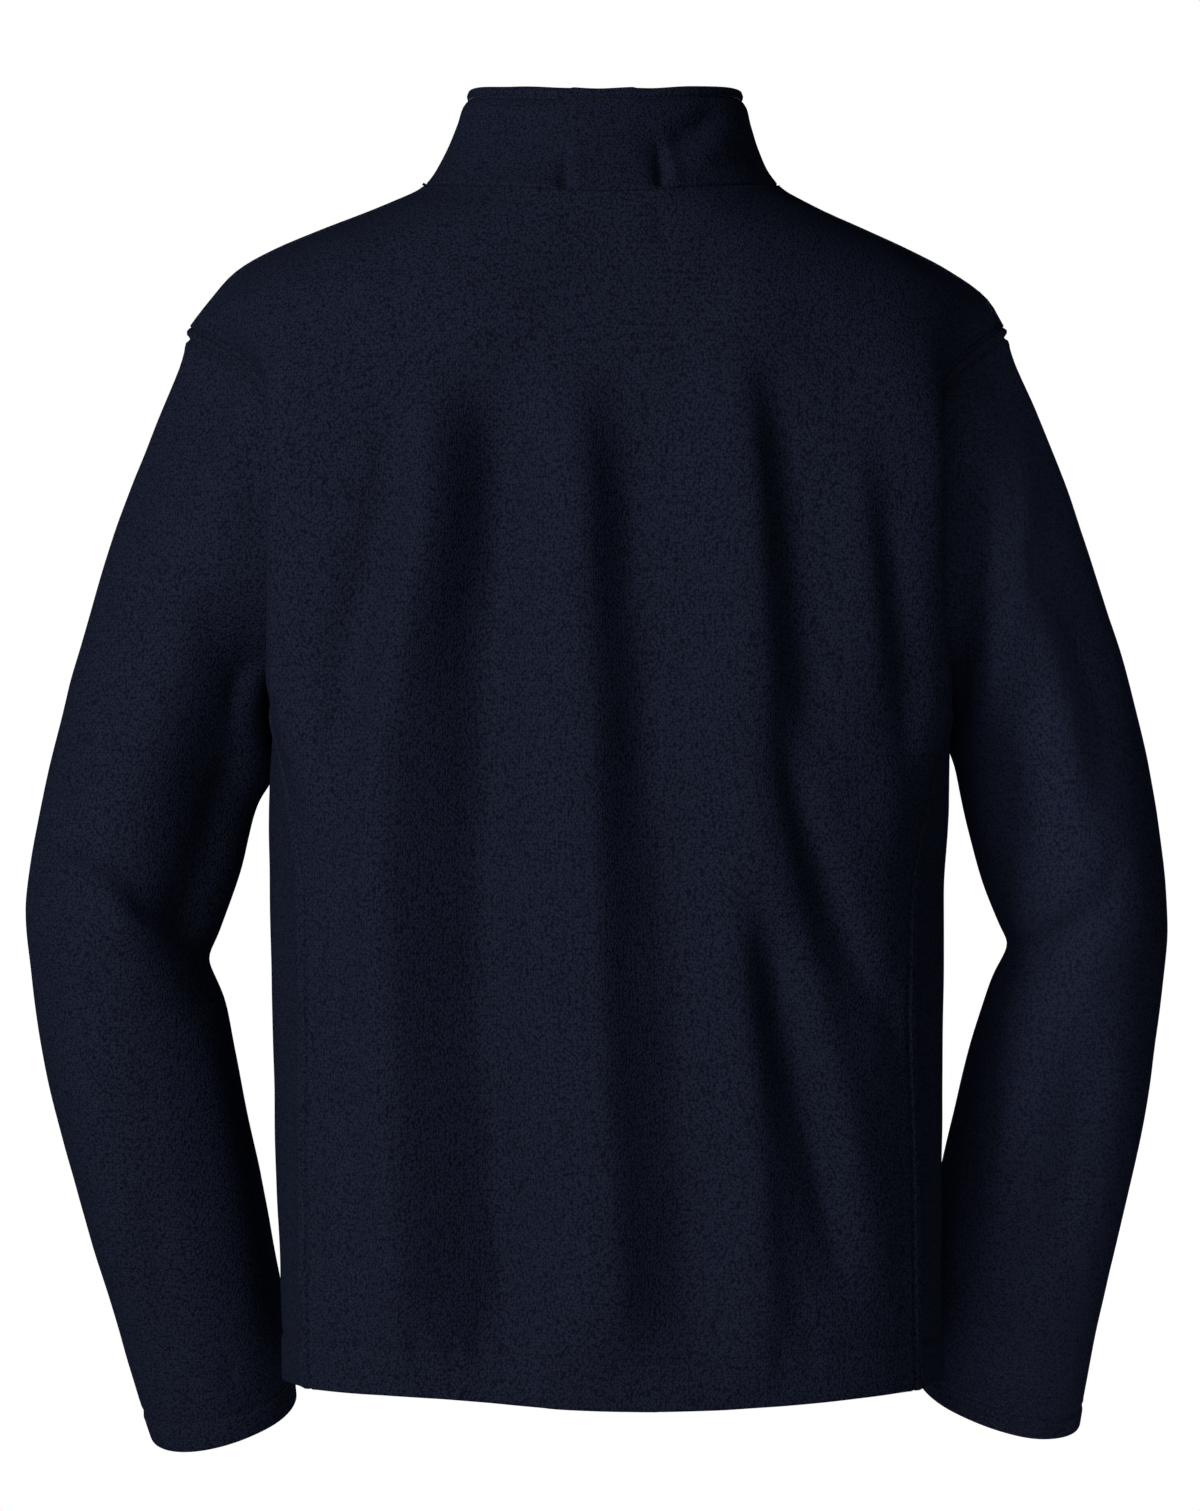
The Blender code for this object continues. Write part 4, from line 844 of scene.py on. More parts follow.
def add_cloth(piece, outer, inner, material):
    """The closed wall between a piece's outer and inner grids."""
    rows, columns = outer.shape[:2]
    count = rows * columns
    wide = columns if piece.closed else columns - 1
    r = np.arange(rows - 1)[:, None]
    c = np.arange(wide)[None, :]
    a = r * columns + c
    b = r * columns + (c + 1) % columns
    quads = np.stack([a, b, b + columns, a + columns], axis=-1).reshape(-1, 4)
    faces = [quads, quads[:, ::-1] + count]
    c = np.arange(wide)
    low, after = c, (c + 1) % columns
    faces.append(np.stack([after, low, low + count, after + count], axis=-1))
    top = (rows - 1) * columns
    faces.append(np.stack([low + top, after + top, after + top + count, low + top + count], axis=-1))
    if not piece.closed:
        r = np.arange(rows - 1) * columns
        faces.append(np.stack([r, r + columns, r + columns + count, r + count], axis=-1))
        r = r + columns - 1
        faces.append(np.stack([r + columns, r, r + count, r + columns + count], axis=-1))
    faces = np.concatenate(faces)
    if piece.sign < 0:
        faces = faces[:, ::-1]
    points = np.concatenate([outer.reshape(-1, 3), inner.reshape(-1, 3)])
    made = add_object(f"{piece.name}_cloth", points, faces.tolist(), "jacket", material)
    mesh = made.data
    mesh.polygons.foreach_set("use_smooth", np.arange(len(mesh.polygons)) < 2 * len(quads))
    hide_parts(piece.name)
    return made


def bump_of(distance, at, width):
    return np.exp(-(((distance - at) / width) ** 2))


def turned_relief(distance, depth):
    """A turned edge: it stands out a little, and its stitching pulls it in."""
    return EDGE_SWELL * smooth((depth - distance) / 3 + 0.5) - EDGE_PULL * bump_of(distance, depth, 1.3)


def seam_relief(distance):
    """Cloth puffed up beside a seam, and pulled in under the topstitching."""
    puff = smooth(distance / 1.6) * np.exp(-((distance / 8) ** 2))
    return SEAM_SWELL * puff - SEAM_PULL * bump_of(distance, SEAM_STITCH, 1.1)


def neck_relief(distance):
    """Cloth puffed up beside the collar's seam."""
    return NECK_SWELL * smooth(distance / 1.5) * np.exp(-((distance / 5) ** 2))


def clear_of_zip(grid):
    return smooth((np.abs(grid[..., 0]) - 14) / 16)


def body_pieces():
    hem = [*EDGE_ROWS, *(HEM_DEPTH + d for d in STITCH_ROWS)]
    below = stops(0, UNDERARM, GRID, hem)
    armhole = stops(UNDERARM, SHOULDER, GRID)
    shoulder = stops(SHOULDER, NECK, GRID, [NECK - d for d in NECK_ROWS])
    heights = np.concatenate([below, armhole[1:], shoulder[1:]])
    low = len(below) - 1
    high = low + len(armhole) - 1
    back = Piece("back_panel", back_grid(heights))
    left = Piece("front_left", front_grid(heights, False))
    right = Piece("front_right", front_grid(heights, True))
    back.sew("first column", (low, high))
    back.sew("last column", (low, high))
    left.sew("last column", (low, high))
    right.sew("first column", (low, high))
    left.free.append("first column")
    right.free.append("last column")
    for piece in (back, left, right):
        piece.sew("last row")
        piece.free.append("first row")
        piece.relax()
        piece.wall[heights < HEM_DEPTH + 1] = TURNED_WALL
        piece.wall[np.abs(piece.grid[..., 0]) < BESIDE_ZIP] = WALL
        piece.fold()
        sides = [border for border in piece.seams if "column" in border]
        out = turned_relief(heights, HEM_DEPTH)[:, None] * clear_of_zip(piece.grid)
        out = out * piece.seam_fade(8, sides)
        for border in sides:
            out = out + seam_relief(piece.distance[border])
        out = out + neck_relief(piece.distance["last row"]) * clear_of_zip(piece.grid)
        for border in piece.free[:-1]:
            out = out - 0.8 * bump_of(piece.distance[border], ZIP_STITCH, 1.0)
        piece.raise_by(out)
    return back, left, right, heights, low, high


def armhole_loop(back, front, low, high, side):
    back_edge = back.grid[low : high + 1, 0 if side > 0 else -1]
    front_edge = front.grid[low : high + 1, -1 if side > 0 else 0]
    return np.concatenate([back_edge, front_edge[-2:0:-1]])


def sleeve_piece(name, loop, table, side):
    top = len(loop) // 2
    length = table[-1][0]
    cuff = [*(length - d for d in EDGE_ROWS), *(length - CUFF_DEPTH + d for d in STITCH_ROWS)]
    stations = stops(0, length, GRID, [*SEAM_COLUMNS, *cuff])
    piece = Piece(name, sleeve_grid(loop, top, table, stations, side), sign=side, closed=True)
    piece.sew("first row", (top,))
    piece.free.append("last row")
    piece.relax()
    from_edge = length - stations
    piece.wall[from_edge < CUFF_DEPTH + 1] = TURNED_WALL
    piece.fold()
    out = turned_relief(from_edge, CUFF_DEPTH)[:, None] + seam_relief(stations)[:, None]
    piece.raise_by(np.repeat(out, len(loop), axis=1))
    return piece


def collar_piece(back, left, right):
    base = np.concatenate([left.grid[-1], back.grid[-1, 1:], right.grid[-1, 1:]])
    neck_left = left.grid.shape[1] - 1
    neck_right = neck_left + back.grid.shape[1] - 1
    top = collar_top(base, neck_left, neck_right)
    bead = COLLAR_HEIGHT - COLLAR_BEAD
    top_rows = [*(COLLAR_HEIGHT - d for d in EDGE_ROWS), *(bead + d for d in STITCH_ROWS)]
    rows = stops(0, COLLAR_HEIGHT, 3.0, [*NECK_ROWS, *top_rows])
    share = (rows / COLLAR_HEIGHT)[:, None, None]
    piece = Piece("collar", base[None] * (1 - share) + top[None] * share)
    piece.sew("first row", (neck_left, neck_right))
    piece.free += ["last row", "first column", "last column"]
    piece.wall[1:] = COLLAR_WALL
    piece.wall[np.abs(piece.grid[..., 0]) < ZIP_HALF_GAP + BESIDE_COLLAR_ZIP] = WALL
    section = np.asarray(COLLAR_SECTION, float)
    out = spline(section[:, 0], section[:, 1:], rows / COLLAR_HEIGHT)[:, 0]
    out = out - 1.3 * bump_of(rows, bead, 1.0) + neck_relief(rows)
    piece.raise_by(out[:, None] * clear_of_zip(piece.grid))
    piece.fold()
    return piece


class ZipPath:
    """The middle line of the zip, from the hem to the collar's top: y and z against its own length."""

    def __init__(self, left, collar):
        points = np.concatenate([left.grid[:, 0, 1:], collar.grid[1:, 0, 1:]])
        keep = [0]
        for i in range(1, len(points)):
            if np.linalg.norm(points[i] - points[keep[-1]]) > 9:
                keep.append(i)
        self.points = points[keep]
        self.knots = walked(self.points)
        self.length = float(walked(points)[-1])

    def place(self, at, x, out, up=0.0):
        """A point beside the line, in the zip's own directions."""
        y, z = spline(self.knots, self.points, [at])[0]
        ends = spline(self.knots, self.points, [max(at - 1, 0), min(at + 1, self.length)])
        dy, dz = unit(ends[1] - ends[0])
        return np.array([x, y - dz * out + dy * up, z + dy * out + dz * up])


def ring_faces(rings, count, capped=True):
    faces = []
    for ring in range(rings - 1):
        for k in range(count):
            a = ring * count + k
            b = ring * count + (k + 1) % count
            faces.append((a, b, b + count, a + count))
    if capped:
        last = (rings - 1) * count
        faces.append(tuple(range(count - 1, -1, -1)))
        faces.append(tuple(range(last, last + count)))
    return faces


def zip_half(path, side, slider_at, material_tape, material_teeth):
    """One half of the zip: the woven tape, and its coil of small teeth."""
    name = "left" if side > 0 else "right"
    end = path.length - ZIP_TOP_GAP
    closed_part = np.linspace(TAPE_FOOT, slider_at - 12, 130)
    open_part = np.linspace(slider_at - 10, end, 12)
    along = [*closed_part, *open_part]
    points = []
    for at in along:
        aside = OPEN_COIL * smooth((at - slider_at + 6) / 6)
        for x, out in TAPE_SECTION:
            points.append(path.place(at, side * (x + (aside if x < TAPE_REACH else 0)), out))
    faces = ring_faces(len(along), len(TAPE_SECTION))
    if side < 0:
        faces = [face[::-1] for face in faces]
    tape = add_object(
        f"zip_tape_{name}_woven", points, faces, "jacket", material_tape, flat=True
    )
    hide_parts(f"zip_tape_{name}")
    points = []
    faces = []
    middle = (COIL_OUTER + TAPE_OUTER) / 2 + 0.2
    size = len(TOOTH)
    for n in range(int((end - TEETH_FOOT) / TOOTH_PITCH)):
        at = TEETH_FOOT + (n + (0.5 if side > 0 else 0.0)) * TOOTH_PITCH
        aside = OPEN_COIL * smooth((at - slider_at + 6) / 6)
        base = len(points)
        for level in (0.75, -0.75):
            for x, out, up in TOOTH:
                lift = middle + level * (0.8 + out)
                points.append(path.place(at, side * (x - 0.35 * (aside == 0) + aside), lift, up))
        top = tuple(base + k for k in range(size))
        under = tuple(base + size + k for k in range(size))
        sides = [(under[k], under[(k + 1) % size], top[(k + 1) % size], top[k]) for k in range(size)]
        made = [top[::-1], under, *sides]
        faces += made if side > 0 else [face[::-1] for face in made]
    teeth = add_object(
        f"zip_teeth_{name}", points, faces, "jacket", material_teeth, flat=True
    )


def outline_block(name, path, at, outline, out0, out1, body, material, bevel):
    """A plate of the given outline, in the zip's own directions, with rounded edges."""
    count = len(outline)
    points = [path.place(at, x, out, up) for out in (out0, out1) for x, up in outline]
    faces = [tuple(range(count - 1, -1, -1)), tuple(range(count, 2 * count))]
    faces += [(k, (k + 1) % count, (k + 1) % count + count, k + count) for k in range(count)]
    made = add_object(name, points, faces, body, material)
    turned_outwards(made)
    soften = made.modifiers.new("rounded", "BEVEL")
    soften.width = bevel * MM
    soften.segments = 3
    soften.limit_method = "ANGLE"
    return made


def rounded_outline(x0, x1, up0, up1, radii, count=8):
    """A rectangle with rounded corners, from its lower right corner round to the left."""
    corners = ((x1, up0, -1, 1, -90), (x1, up1, -1, -1, 0), (x0, up1, 1, -1, 90), (x0, up0, 1, 1, 180))
    points = []
    for (x, up, to_x, to_up, start), radius in zip(corners, radii):
        for turn in np.radians(np.linspace(start, start + 90, count)):
            across_by = radius * (to_x + math.cos(turn))
            points.append((x + across_by, up + radius * (to_up + math.sin(turn))))
    return points


def denser(outline, step):
    """The same outline with no gap between points longer than `step`."""
    points = []
    for k, (x, up) in enumerate(outline):
        to_x, to_up = outline[(k + 1) % len(outline)]
        parts = max(int(math.hypot(to_x - x, to_up - up) / step), 1)
        points += [(x + (to_x - x) * n / parts, up + (to_up - up) * n / parts) for n in range(parts)]
    return points


def framed_plate(name, path, at, outline, middle, hole, out0, out1, body, material):
    """A plate with an oblong hole: each point of its outline has one on the hole's edge."""
    half_x, half_up = hole
    outer = denser(outline, 1.0)
    inner = []
    for x, up in outer:
        ray_x = x - middle[0]
        ray_up = up - middle[1]
        reach = ((abs(ray_x) / half_x) ** 6 + (abs(ray_up) / half_up) ** 6) ** (-1 / 6)
        inner.append((middle[0] + ray_x * reach, middle[1] + ray_up * reach))
    edge = 0.2
    rings = []
    for shape, sign in ((outer, 1), (inner, -1)):
        for inset, out in ((edge, out0), (0.0, out0 + edge), (0.0, out1 - edge), (edge, out1)):
            ring = []
            for x, up in shape:
                ray = np.array([x - middle[0], up - middle[1]])
                ray = ray / np.linalg.norm(ray) * inset * sign
                ring.append(path.place(at, x - ray[0], out, up - ray[1]))
            rings.append(ring)
    rings = rings[:4] + rings[:3:-1]
    count = len(outer)
    points = [point for ring in rings for point in ring]
    faces = []
    for ring in range(len(rings)):
        after = (ring + 1) % len(rings)
        for k in range(count):
            k1 = (k + 1) % count
            faces.append((ring * count + k, ring * count + k1, after * count + k1, after * count + k))
    made = add_object(name, points, faces, body, material, flat=True)
    return turned_outwards(made)


def turned_outwards(made):
    mesh = made.data
    volume = 0.0
    for face in mesh.polygons:
        corners = [mesh.vertices[v].co for v in face.vertices]
        for k in range(1, len(corners) - 1):
            volume += corners[0].dot(corners[k].cross(corners[k + 1]))
    if volume < 0:
        mesh.flip_normals()
    return made


def point_at(place, walk, values):
    return np.array([np.interp(place, walk, values[:, k]) for k in range(3)])


def stitch_line(points, facing):
    """Small spindles of thread laid along a line on the cloth."""
    walk = walked(points)
    made_points = []
    made_faces = []
    for start in np.arange(0.4, walk[-1] - STITCH_LENGTH, STITCH_PITCH):
        first = point_at(start, walk, points)
        last = point_at(start + STITCH_LENGTH, walk, points)
        out = unit(point_at(start, walk, facing))
        across_run = unit(np.cross(unit(last - first), out))
        base = len(made_points)
        for share, wide in STITCH_FORM:
            middle = first * (1 - share) + last * share
            for k in range(THREAD_SIDES):
                turn = 2 * math.pi * k / THREAD_SIDES
                ray = across_run * math.cos(turn) + out * math.sin(turn)
                made_points.append(middle + ray * THREAD * wide)
        faces = ring_faces(len(STITCH_FORM), THREAD_SIDES)
        made_faces += [tuple(base + v for v in face) for face in faces]
    return made_points, made_faces


def stitching(name, lines, material):
    """All the given lines of stitches as one mesh.

    Each line is its points and the cloth's outward directions there.
    """
    points = []
    faces = []
    for path, facing in lines:
        new_points, new_faces = stitch_line(path, facing)
        faces += [tuple(len(points) + v for v in face) for face in new_faces]
        points += new_points
    return add_object(name, points, faces, "jacket", material)


def line_at(piece, grid, border, distance, rows=None):
    """The points and directions of a line on a piece, a set distance from one of its borders."""
    values = np.concatenate([grid, normals(grid, piece.closed, piece.sign)], axis=2)
    away = piece.distance[border]
    if "column" in border:
        tracks = [(away[r], values[r]) for r in (range(len(grid)) if rows is None else rows)]
    else:
        columns = [*range(grid.shape[1]), *([0] if piece.closed else [])]
        tracks = [(away[:, c], values[:, c]) for c in columns]
    picked = []
    for far, there in tracks:
        order = np.argsort(far)
        picked.append([np.interp(distance, far[order], there[order, k]) for k in range(6)])
    picked = np.array(picked)
    return picked[:, :3], unit(picked[:, 3:])


def node_of(tree, kind, **values):
    node = tree.nodes.new(kind)
    for name, value in values.items():
        if hasattr(node, name):
            setattr(node, name, value)
        else:
            node.inputs[name.replace("_", " ").title()].default_value = value
    return node


def new_material(name):
    """A material, its node tree, its shader and its texture coordinates."""
    material = bpy.data.materials.new(name)
    material.use_nodes = True
    tree = material.node_tree
    return material, tree, tree.nodes["Principled BSDF"], tree.nodes.new("ShaderNodeTexCoord")


def colour_by(tree, shader, source, dark, light, low=0.0, high=1.0):
    """The shader's colour goes from dark to light as the source goes from low to high."""
    ramp = tree.nodes.new("ShaderNodeValToRGB")
    for element, colour, position in zip(ramp.color_ramp.elements, (dark, light), (low, high)):
        element.position = position
        element.color = (*colour, 1)
    tree.links.new(source, ramp.inputs["Fac"])
    tree.links.new(ramp.outputs["Color"], shader.inputs["Base Color"])


def bump_by(tree, shader, source, strength, distance):
    bump = tree.nodes.new("ShaderNodeBump")
    bump.inputs["Strength"].default_value = strength
    bump.inputs["Distance"].default_value = distance
    tree.links.new(source, bump.inputs["Height"])
    tree.links.new(bump.outputs["Normal"], shader.inputs["Normal"])


def added_share(tree, share, source, base):
    """The node whose value is base + share * source."""
    added = node_of(tree, "ShaderNodeMath", operation="MULTIPLY_ADD")
    tree.links.new(source, added.inputs[0])
    added.inputs[1].default_value = share
    tree.links.new(base, added.inputs[2])
    return added.outputs[0]


def times(colour, share):
    return [c * share for c in colour]


NAP_STRETCH = (1.35, 1.35, 1.0)  # the nap's fibres are longer up and down
TUFTS = 580.0  # to the metre
CLUMPS = 250.0
PATCHES = 22.0


def fleece_material(name, dark, light):
    """Brushed fleece: fine tufts in clumps, painted shade in the pits between them, a painted highlight
    on their tips.
    """
    material, tree, shader, place = new_material(name)
    lie = tree.nodes.new("ShaderNodeMapping")
    lie.inputs["Scale"].default_value = NAP_STRETCH
    tree.links.new(place.outputs["Object"], lie.inputs["Vector"])
    tuft = node_of(tree, "ShaderNodeTexVoronoi", feature="F1", scale=TUFTS, randomness=0.8)
    clump = node_of(tree, "ShaderNodeTexNoise", scale=CLUMPS, detail=2.0, roughness=0.5)
    patch = node_of(tree, "ShaderNodeTexNoise", scale=PATCHES, detail=2.0, roughness=0.5)
    for node in (tuft, clump, patch):
        tree.links.new(lie.outputs["Vector"], node.inputs["Vector"])
    nap = node_of(tree, "ShaderNodeMath", operation="SUBTRACT")
    nap.inputs[0].default_value = 1.0
    tree.links.new(tuft.outputs["Distance"], nap.inputs[1])
    height = added_share(tree, 0.12, clump.outputs["Fac"], nap.outputs[0])
    nap_shade_and_tone = added_share(tree, 0.05, patch.outputs["Fac"], height)
    # painted shade and highlight: the colour is darker in the nap's pits and lighter on its tips, with a
    # little random tone from the patches
    colour_by(tree, shader, nap_shade_and_tone, dark, light, 0.30, 1.0)
    bump_by(tree, shader, height, 0.8, 0.0006)
    shader.inputs["Roughness"].default_value = 0.95
    shader.inputs["Specular IOR Level"].default_value = 0.0
    shader.inputs["Sheen Weight"].default_value = 0.006
    shader.inputs["Sheen Roughness"].default_value = 0.6
    shader.inputs["Sheen Tint"].default_value = (0.25, 0.35, 0.8, 1)
    return material


def thread_material(name, colour):
    """Twisted thread."""
    material, tree, shader, place = new_material(name)
    twist = node_of(tree, "ShaderNodeTexNoise", scale=3500.0, detail=1.0)
    tree.links.new(place.outputs["Object"], twist.inputs["Vector"])
    colour_by(tree, shader, twist.outputs["Fac"], times(colour, 0.7), times(colour, 1.3))
    shader.inputs["Roughness"].default_value = 0.6
    shader.inputs["Specular IOR Level"].default_value = 0.3
    return material


def tape_material(name, colour):
    """Woven tape: a fine slanting weave of yarns."""
    material, tree, shader, place = new_material(name)
    yarn = node_of(tree, "ShaderNodeTexWave", wave_type="BANDS", scale=420.0, distortion=0.4)
    yarn.bands_direction = "DIAGONAL"
    tree.links.new(place.outputs["Object"], yarn.inputs["Vector"])
    colour_by(tree, shader, yarn.outputs["Fac"], times(colour, 0.6), times(colour, 1.4))
    bump_by(tree, shader, yarn.outputs["Fac"], 0.4, 0.0002)
    shader.inputs["Roughness"].default_value = 0.75
    return material


def metal_material(name, colour):
    """Painted zip metal with faint wear."""
    material, tree, shader, place = new_material(name)
    wear = node_of(tree, "ShaderNodeTexNoise", scale=900.0, detail=4.0)
    tree.links.new(place.outputs["Object"], wear.inputs["Vector"])
    colour_by(tree, shader, wear.outputs["Fac"], colour, times(colour, 2.2), 0.35, 0.8)
    rough = node_of(tree, "ShaderNodeMapRange")
    rough.inputs["To Min"].default_value = 0.28
    rough.inputs["To Max"].default_value = 0.45
    tree.links.new(wear.outputs["Fac"], rough.inputs["Value"])
    tree.links.new(rough.outputs["Result"], shader.inputs["Roughness"])
    shader.inputs["Metallic"].default_value = 0.6
    return material


def zip_metal_pieces(path, material):
    """The slider with its arch, the pull tab and the box at the foot."""
    at = path.length - SLIDER_BELOW_TOP
    right_side = [(2.6, -5.0), (3.2, -2.0), (4.2, 1.8), (4.2, 4.2), (2.4, 5.0)]
    left_side = [(-x, up) for x, up in right_side[::-1]]
    body = [left_side[-1], *right_side, (0.0, 4.2), *left_side[:-1]]
    wedge = [(-0.8, 0.8), (0.8, 0.8), (1.0, 4.2), (-1.0, 4.2)]
    arch = ((-3.6, -2.6, -1.0, 1.7), (2.6, 3.6, -1.0, 1.7), (-3.6, 3.6, 1.2, 2.2))
    plates = [
        outline_block("slider_front", path, at, body, -2.0, -0.8, "jacket", material, 0.3),
        outline_block("slider_back", path, at, body, -6.4, -5.2, "jacket", material, 0.3),
        outline_block("slider_wedge", path, at, wedge, -5.4, -1.8, "jacket", material, 0.2),
    ]
    for k, (low, high, out0, out1) in enumerate(arch):
        outline = [(-1.2, low), (1.2, low), (1.2, high), (-1.2, high)]
        outline_block(f"slider_arch_{k}", path, at, outline, out0, out1, "jacket", material, 0.3)
    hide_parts("zip_slider")
    tab = rounded_outline(-3.4, 3.4, -26.0, 0.55, (2.2, 0.5, 0.5, 2.2))
    tab = framed_plate("pull_tab", path, at, tab, (0, -2.6), (1.6, 2.1), -0.35, 0.85, "pull", material)
    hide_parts("zip_pull")
    grip = rounded_outline(-2.1, 2.1, -24.0, -8.0, (1.4, 1.4, 1.4, 1.4))
    outline_block("pull_grip", path, at, grip, 0.7, 1.1, "pull", material, 0.15)
    box = rounded_outline(-4.4, 4.4, 0.0, 8.0, (1.0, 1.0, 1.0, 1.0), 4)
    box = outline_block("box_body", path, BOX_AT, box, -6.0, -2.1, "jacket", material, 0.4)
    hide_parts("zip_box")
    face = rounded_outline(-3.2, 3.2, 1.2, 6.8, (0.8, 0.8, 0.8, 0.8), 4)
    outline_block("box_face", path, BOX_AT, face, -2.3, -1.6, "jacket", material, 0.25)


CLOTH_AMBIENT = 0.02


def make_world():
    """White all round for the camera, and a dim even light on the cloth."""
    world = bpy.data.worlds.new("studio")
    world.use_nodes = True
    bpy.context.scene.world = world
    tree = world.node_tree
    tree.nodes.clear()
    shades = []
    for strength in (1.0, CLOTH_AMBIENT):
        shade = tree.nodes.new("ShaderNodeBackground")
        shade.inputs["Color"].default_value = (1, 1, 1, 1)
        shade.inputs["Strength"].default_value = strength
        shades.append(shade)
    seen, lit = shades
    ray = tree.nodes.new("ShaderNodeLightPath")
    mix = tree.nodes.new("ShaderNodeMixShader")
    output = tree.nodes.new("ShaderNodeOutputWorld")
    tree.links.new(ray.outputs["Is Camera Ray"], mix.inputs["Fac"])
    tree.links.new(lit.outputs[0], mix.inputs[1])
    tree.links.new(seen.outputs[0], mix.inputs[2])
    tree.links.new(mix.outputs[0], output.inputs["Surface"])


LIGHT_AIM = (0.0, 0.0, -0.35)
LIGHT_AWAY = 2.4
LIGHTS = (
    # name, degrees round from straight behind the jacket to its left, degrees up, size, watts
    ("key", 41, 20, 1.0, 35),
    ("low", 12, 0, 1.2, 5),
    ("fill", -42, 14, 1.2, 4),
    ("front_left", 150, 12, 1.6, 15),
    ("front_right", 207, 12, 1.6, 12),
)
STRIP_AT = (-0.25, 1.05, -0.36)
STRIP_AIM = (-0.25, 0.0, -0.40)
STRIP_SIZE = (0.05, 0.7)
STRIP_SPREAD = 8
STRIP_POWER = 0.07


def add_lamp(name, at, aim, power):
    """A soft round lamp that looks at a point."""
    data = bpy.data.lights.new(name, "AREA")
    data.shape = "DISK"
    data.energy = power
    made = bpy.data.objects.new(name, data)
    bpy.context.scene.collection.objects.link(made)
    made.location = at
    made.visible_camera = False
    made.rotation_mode = "QUATERNION"
    made.rotation_quaternion = (Vector(aim) - Vector(at)).to_track_quat("-Z", "Y")
    return data


def add_lights():
    """Round lamps about the jacket, and a narrow strip lamp along its right sleeve."""
    for name, turn, height, size, power in LIGHTS:
        turn = math.radians(turn)
        height = math.radians(height)
        level = math.cos(height)
        away = Vector((math.sin(turn) * level, math.cos(turn) * level, math.sin(height)))
        add_lamp(name, Vector(LIGHT_AIM) + LIGHT_AWAY * away, LIGHT_AIM, power).size = size
    strip = add_lamp("strip", STRIP_AT, STRIP_AIM, STRIP_POWER)
    strip.shape = "RECTANGLE"
    strip.size, strip.size_y = STRIP_SIZE
    strip.spread = math.radians(STRIP_SPREAD)


CAMERA_AT = (0.0017, 3.5, -0.324)
CAMERA_LENS = 146.3
FLOOR_RADIUS = 1400
FLOOR_LEVEL = -1080.0
FLOOR_SIDES = 64


def make_camera():
    """Straight behind the jacket, level, at the height of its middle."""
    data = bpy.data.cameras.new("camera")
    data.sensor_width = 36.0
    data.lens = CAMERA_LENS
    data.clip_start = 0.1
    data.clip_end = 30.0
    made = bpy.data.objects.new("camera", data)
    bpy.context.scene.collection.objects.link(made)
    made.location = CAMERA_AT
    made.rotation_euler = (math.radians(90), 0, math.radians(180))
    bpy.context.scene.camera = made


def make_floor():
    """A pale round floor, well below the jacket."""
    turns = np.linspace(0, 2 * math.pi, FLOOR_SIDES + 1)[:-1]
    points = [(FLOOR_RADIUS * math.cos(a), FLOOR_RADIUS * math.sin(a), FLOOR_LEVEL) for a in turns]
    mesh = bpy.data.meshes.new("floor")
    mesh.from_pydata((np.array(points) * MM).tolist(), [], [tuple(range(len(points)))])
    made = bpy.data.objects.new("floor", mesh)
    bpy.context.scene.collection.objects.link(made)
    material = bpy.data.materials.new("pale_floor")
    material.use_nodes = True
    shader = material.node_tree.nodes["Principled BSDF"]
    shader.inputs["Base Color"].default_value = (0.8, 0.8, 0.8, 1)
    shader.inputs["Roughness"].default_value = 0.9
    mesh.materials.append(material)


def flat_area(outer, closed):
    """The cut's area: that of the outer surface."""
    grid = np.concatenate([outer, outer[:, :1]], axis=1) if closed else outer
    a = grid[1:, 1:] - grid[:-1, :-1]
    b = grid[1:, :-1] - grid[:-1, 1:]
    return float(np.linalg.norm(np.cross(a, b), axis=2).sum() / 2)


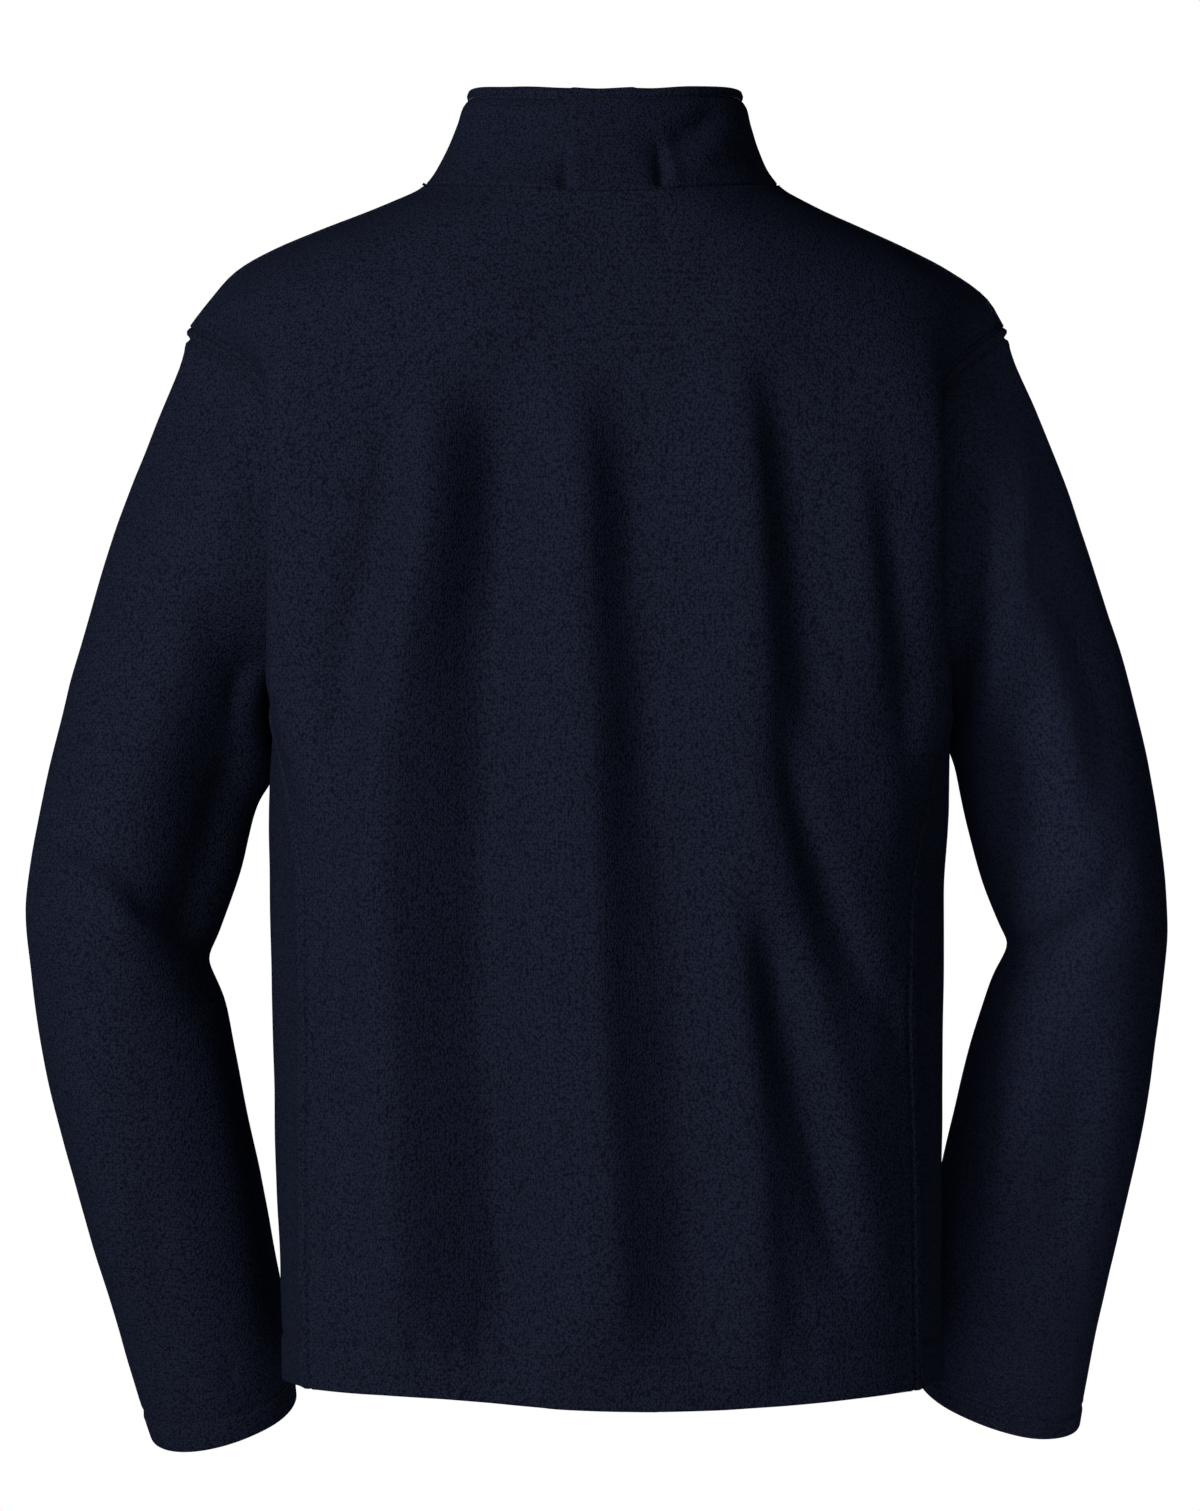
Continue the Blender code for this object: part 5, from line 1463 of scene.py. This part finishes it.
def main():
    scene = bpy.context.scene
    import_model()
    scene.view_settings.view_transform = "Standard"
    make_camera()
    make_world()
    make_floor()
    add_lights()

    # the darker fleece colour is painted shade for the nap's pits, the lighter one a painted highlight
    # for its tips
    fleece = fleece_material("navy_fleece", (0.0058, 0.0075, 0.0155), (0.0222, 0.0278, 0.0530))
    # real stitching thread, its colour darkened as painted shade so the seams read as dark grooves
    thread = thread_material("navy_thread", (0.0012, 0.0016, 0.0034))
    tape = tape_material("woven_tape", (0.007, 0.008, 0.014))
    teeth = thread_material("zip_coil", (0.008, 0.009, 0.014))
    metal = metal_material("painted_metal", (0.020, 0.022, 0.030))

    back, left, right, heights, low, high = body_pieces()
    loop_left = armhole_loop(back, left, low, high, 1)
    loop_right = armhole_loop(back, right, low, high, -1)
    collar = collar_piece(back, left, right)
    pieces = [
        back,
        left,
        right,
        sleeve_piece("sleeve_left", loop_left, SLEEVE_LEFT, 1),
        sleeve_piece("sleeve_right", loop_right, SLEEVE_RIGHT, -1),
        collar,
    ]
    made = walls(pieces)
    for piece in pieces:
        outer, inner = made[piece.name]
        cloth = add_cloth(piece, outer, inner, fleece)
        area = flat_area(outer, piece.closed)

    path = ZipPath(left, collar)
    slider_at = path.length - SLIDER_BELOW_TOP
    zip_half(path, 1, slider_at, tape, teeth)
    zip_half(path, -1, slider_at, tape, teeth)
    zip_metal_pieces(path, metal)

    outer = {piece.name: made[piece.name][0] for piece in pieces}
    rows_below = range(2, low)
    rows_shoulder = range(high, len(heights))
    lines = []
    for border in ("first column", "last column"):
        for rows in (rows_below, rows_shoulder):
            lines.append(line_at(back, outer["back_panel"], border, SEAM_STITCH, rows))
    lines.append(line_at(back, outer["back_panel"], "first row", HEM_DEPTH))
    stitching("stitches_back", lines, thread)
    for piece in (left, right):
        lines = [
            line_at(piece, outer[piece.name], "first row", HEM_DEPTH),
            line_at(piece, outer[piece.name], piece.free[0], ZIP_STITCH),
        ]
        stitching(f"stitches_{piece.name}", lines, thread)
    for piece in pieces[3:5]:
        lines = [
            line_at(piece, outer[piece.name], "first row", SEAM_STITCH),
            line_at(piece, outer[piece.name], "last row", CUFF_DEPTH),
        ]
        stitching(f"stitches_{piece.name}", lines, thread)
    stitching("stitches_collar", [line_at(collar, outer["collar"], "last row", COLLAR_BEAD)], thread)


main()
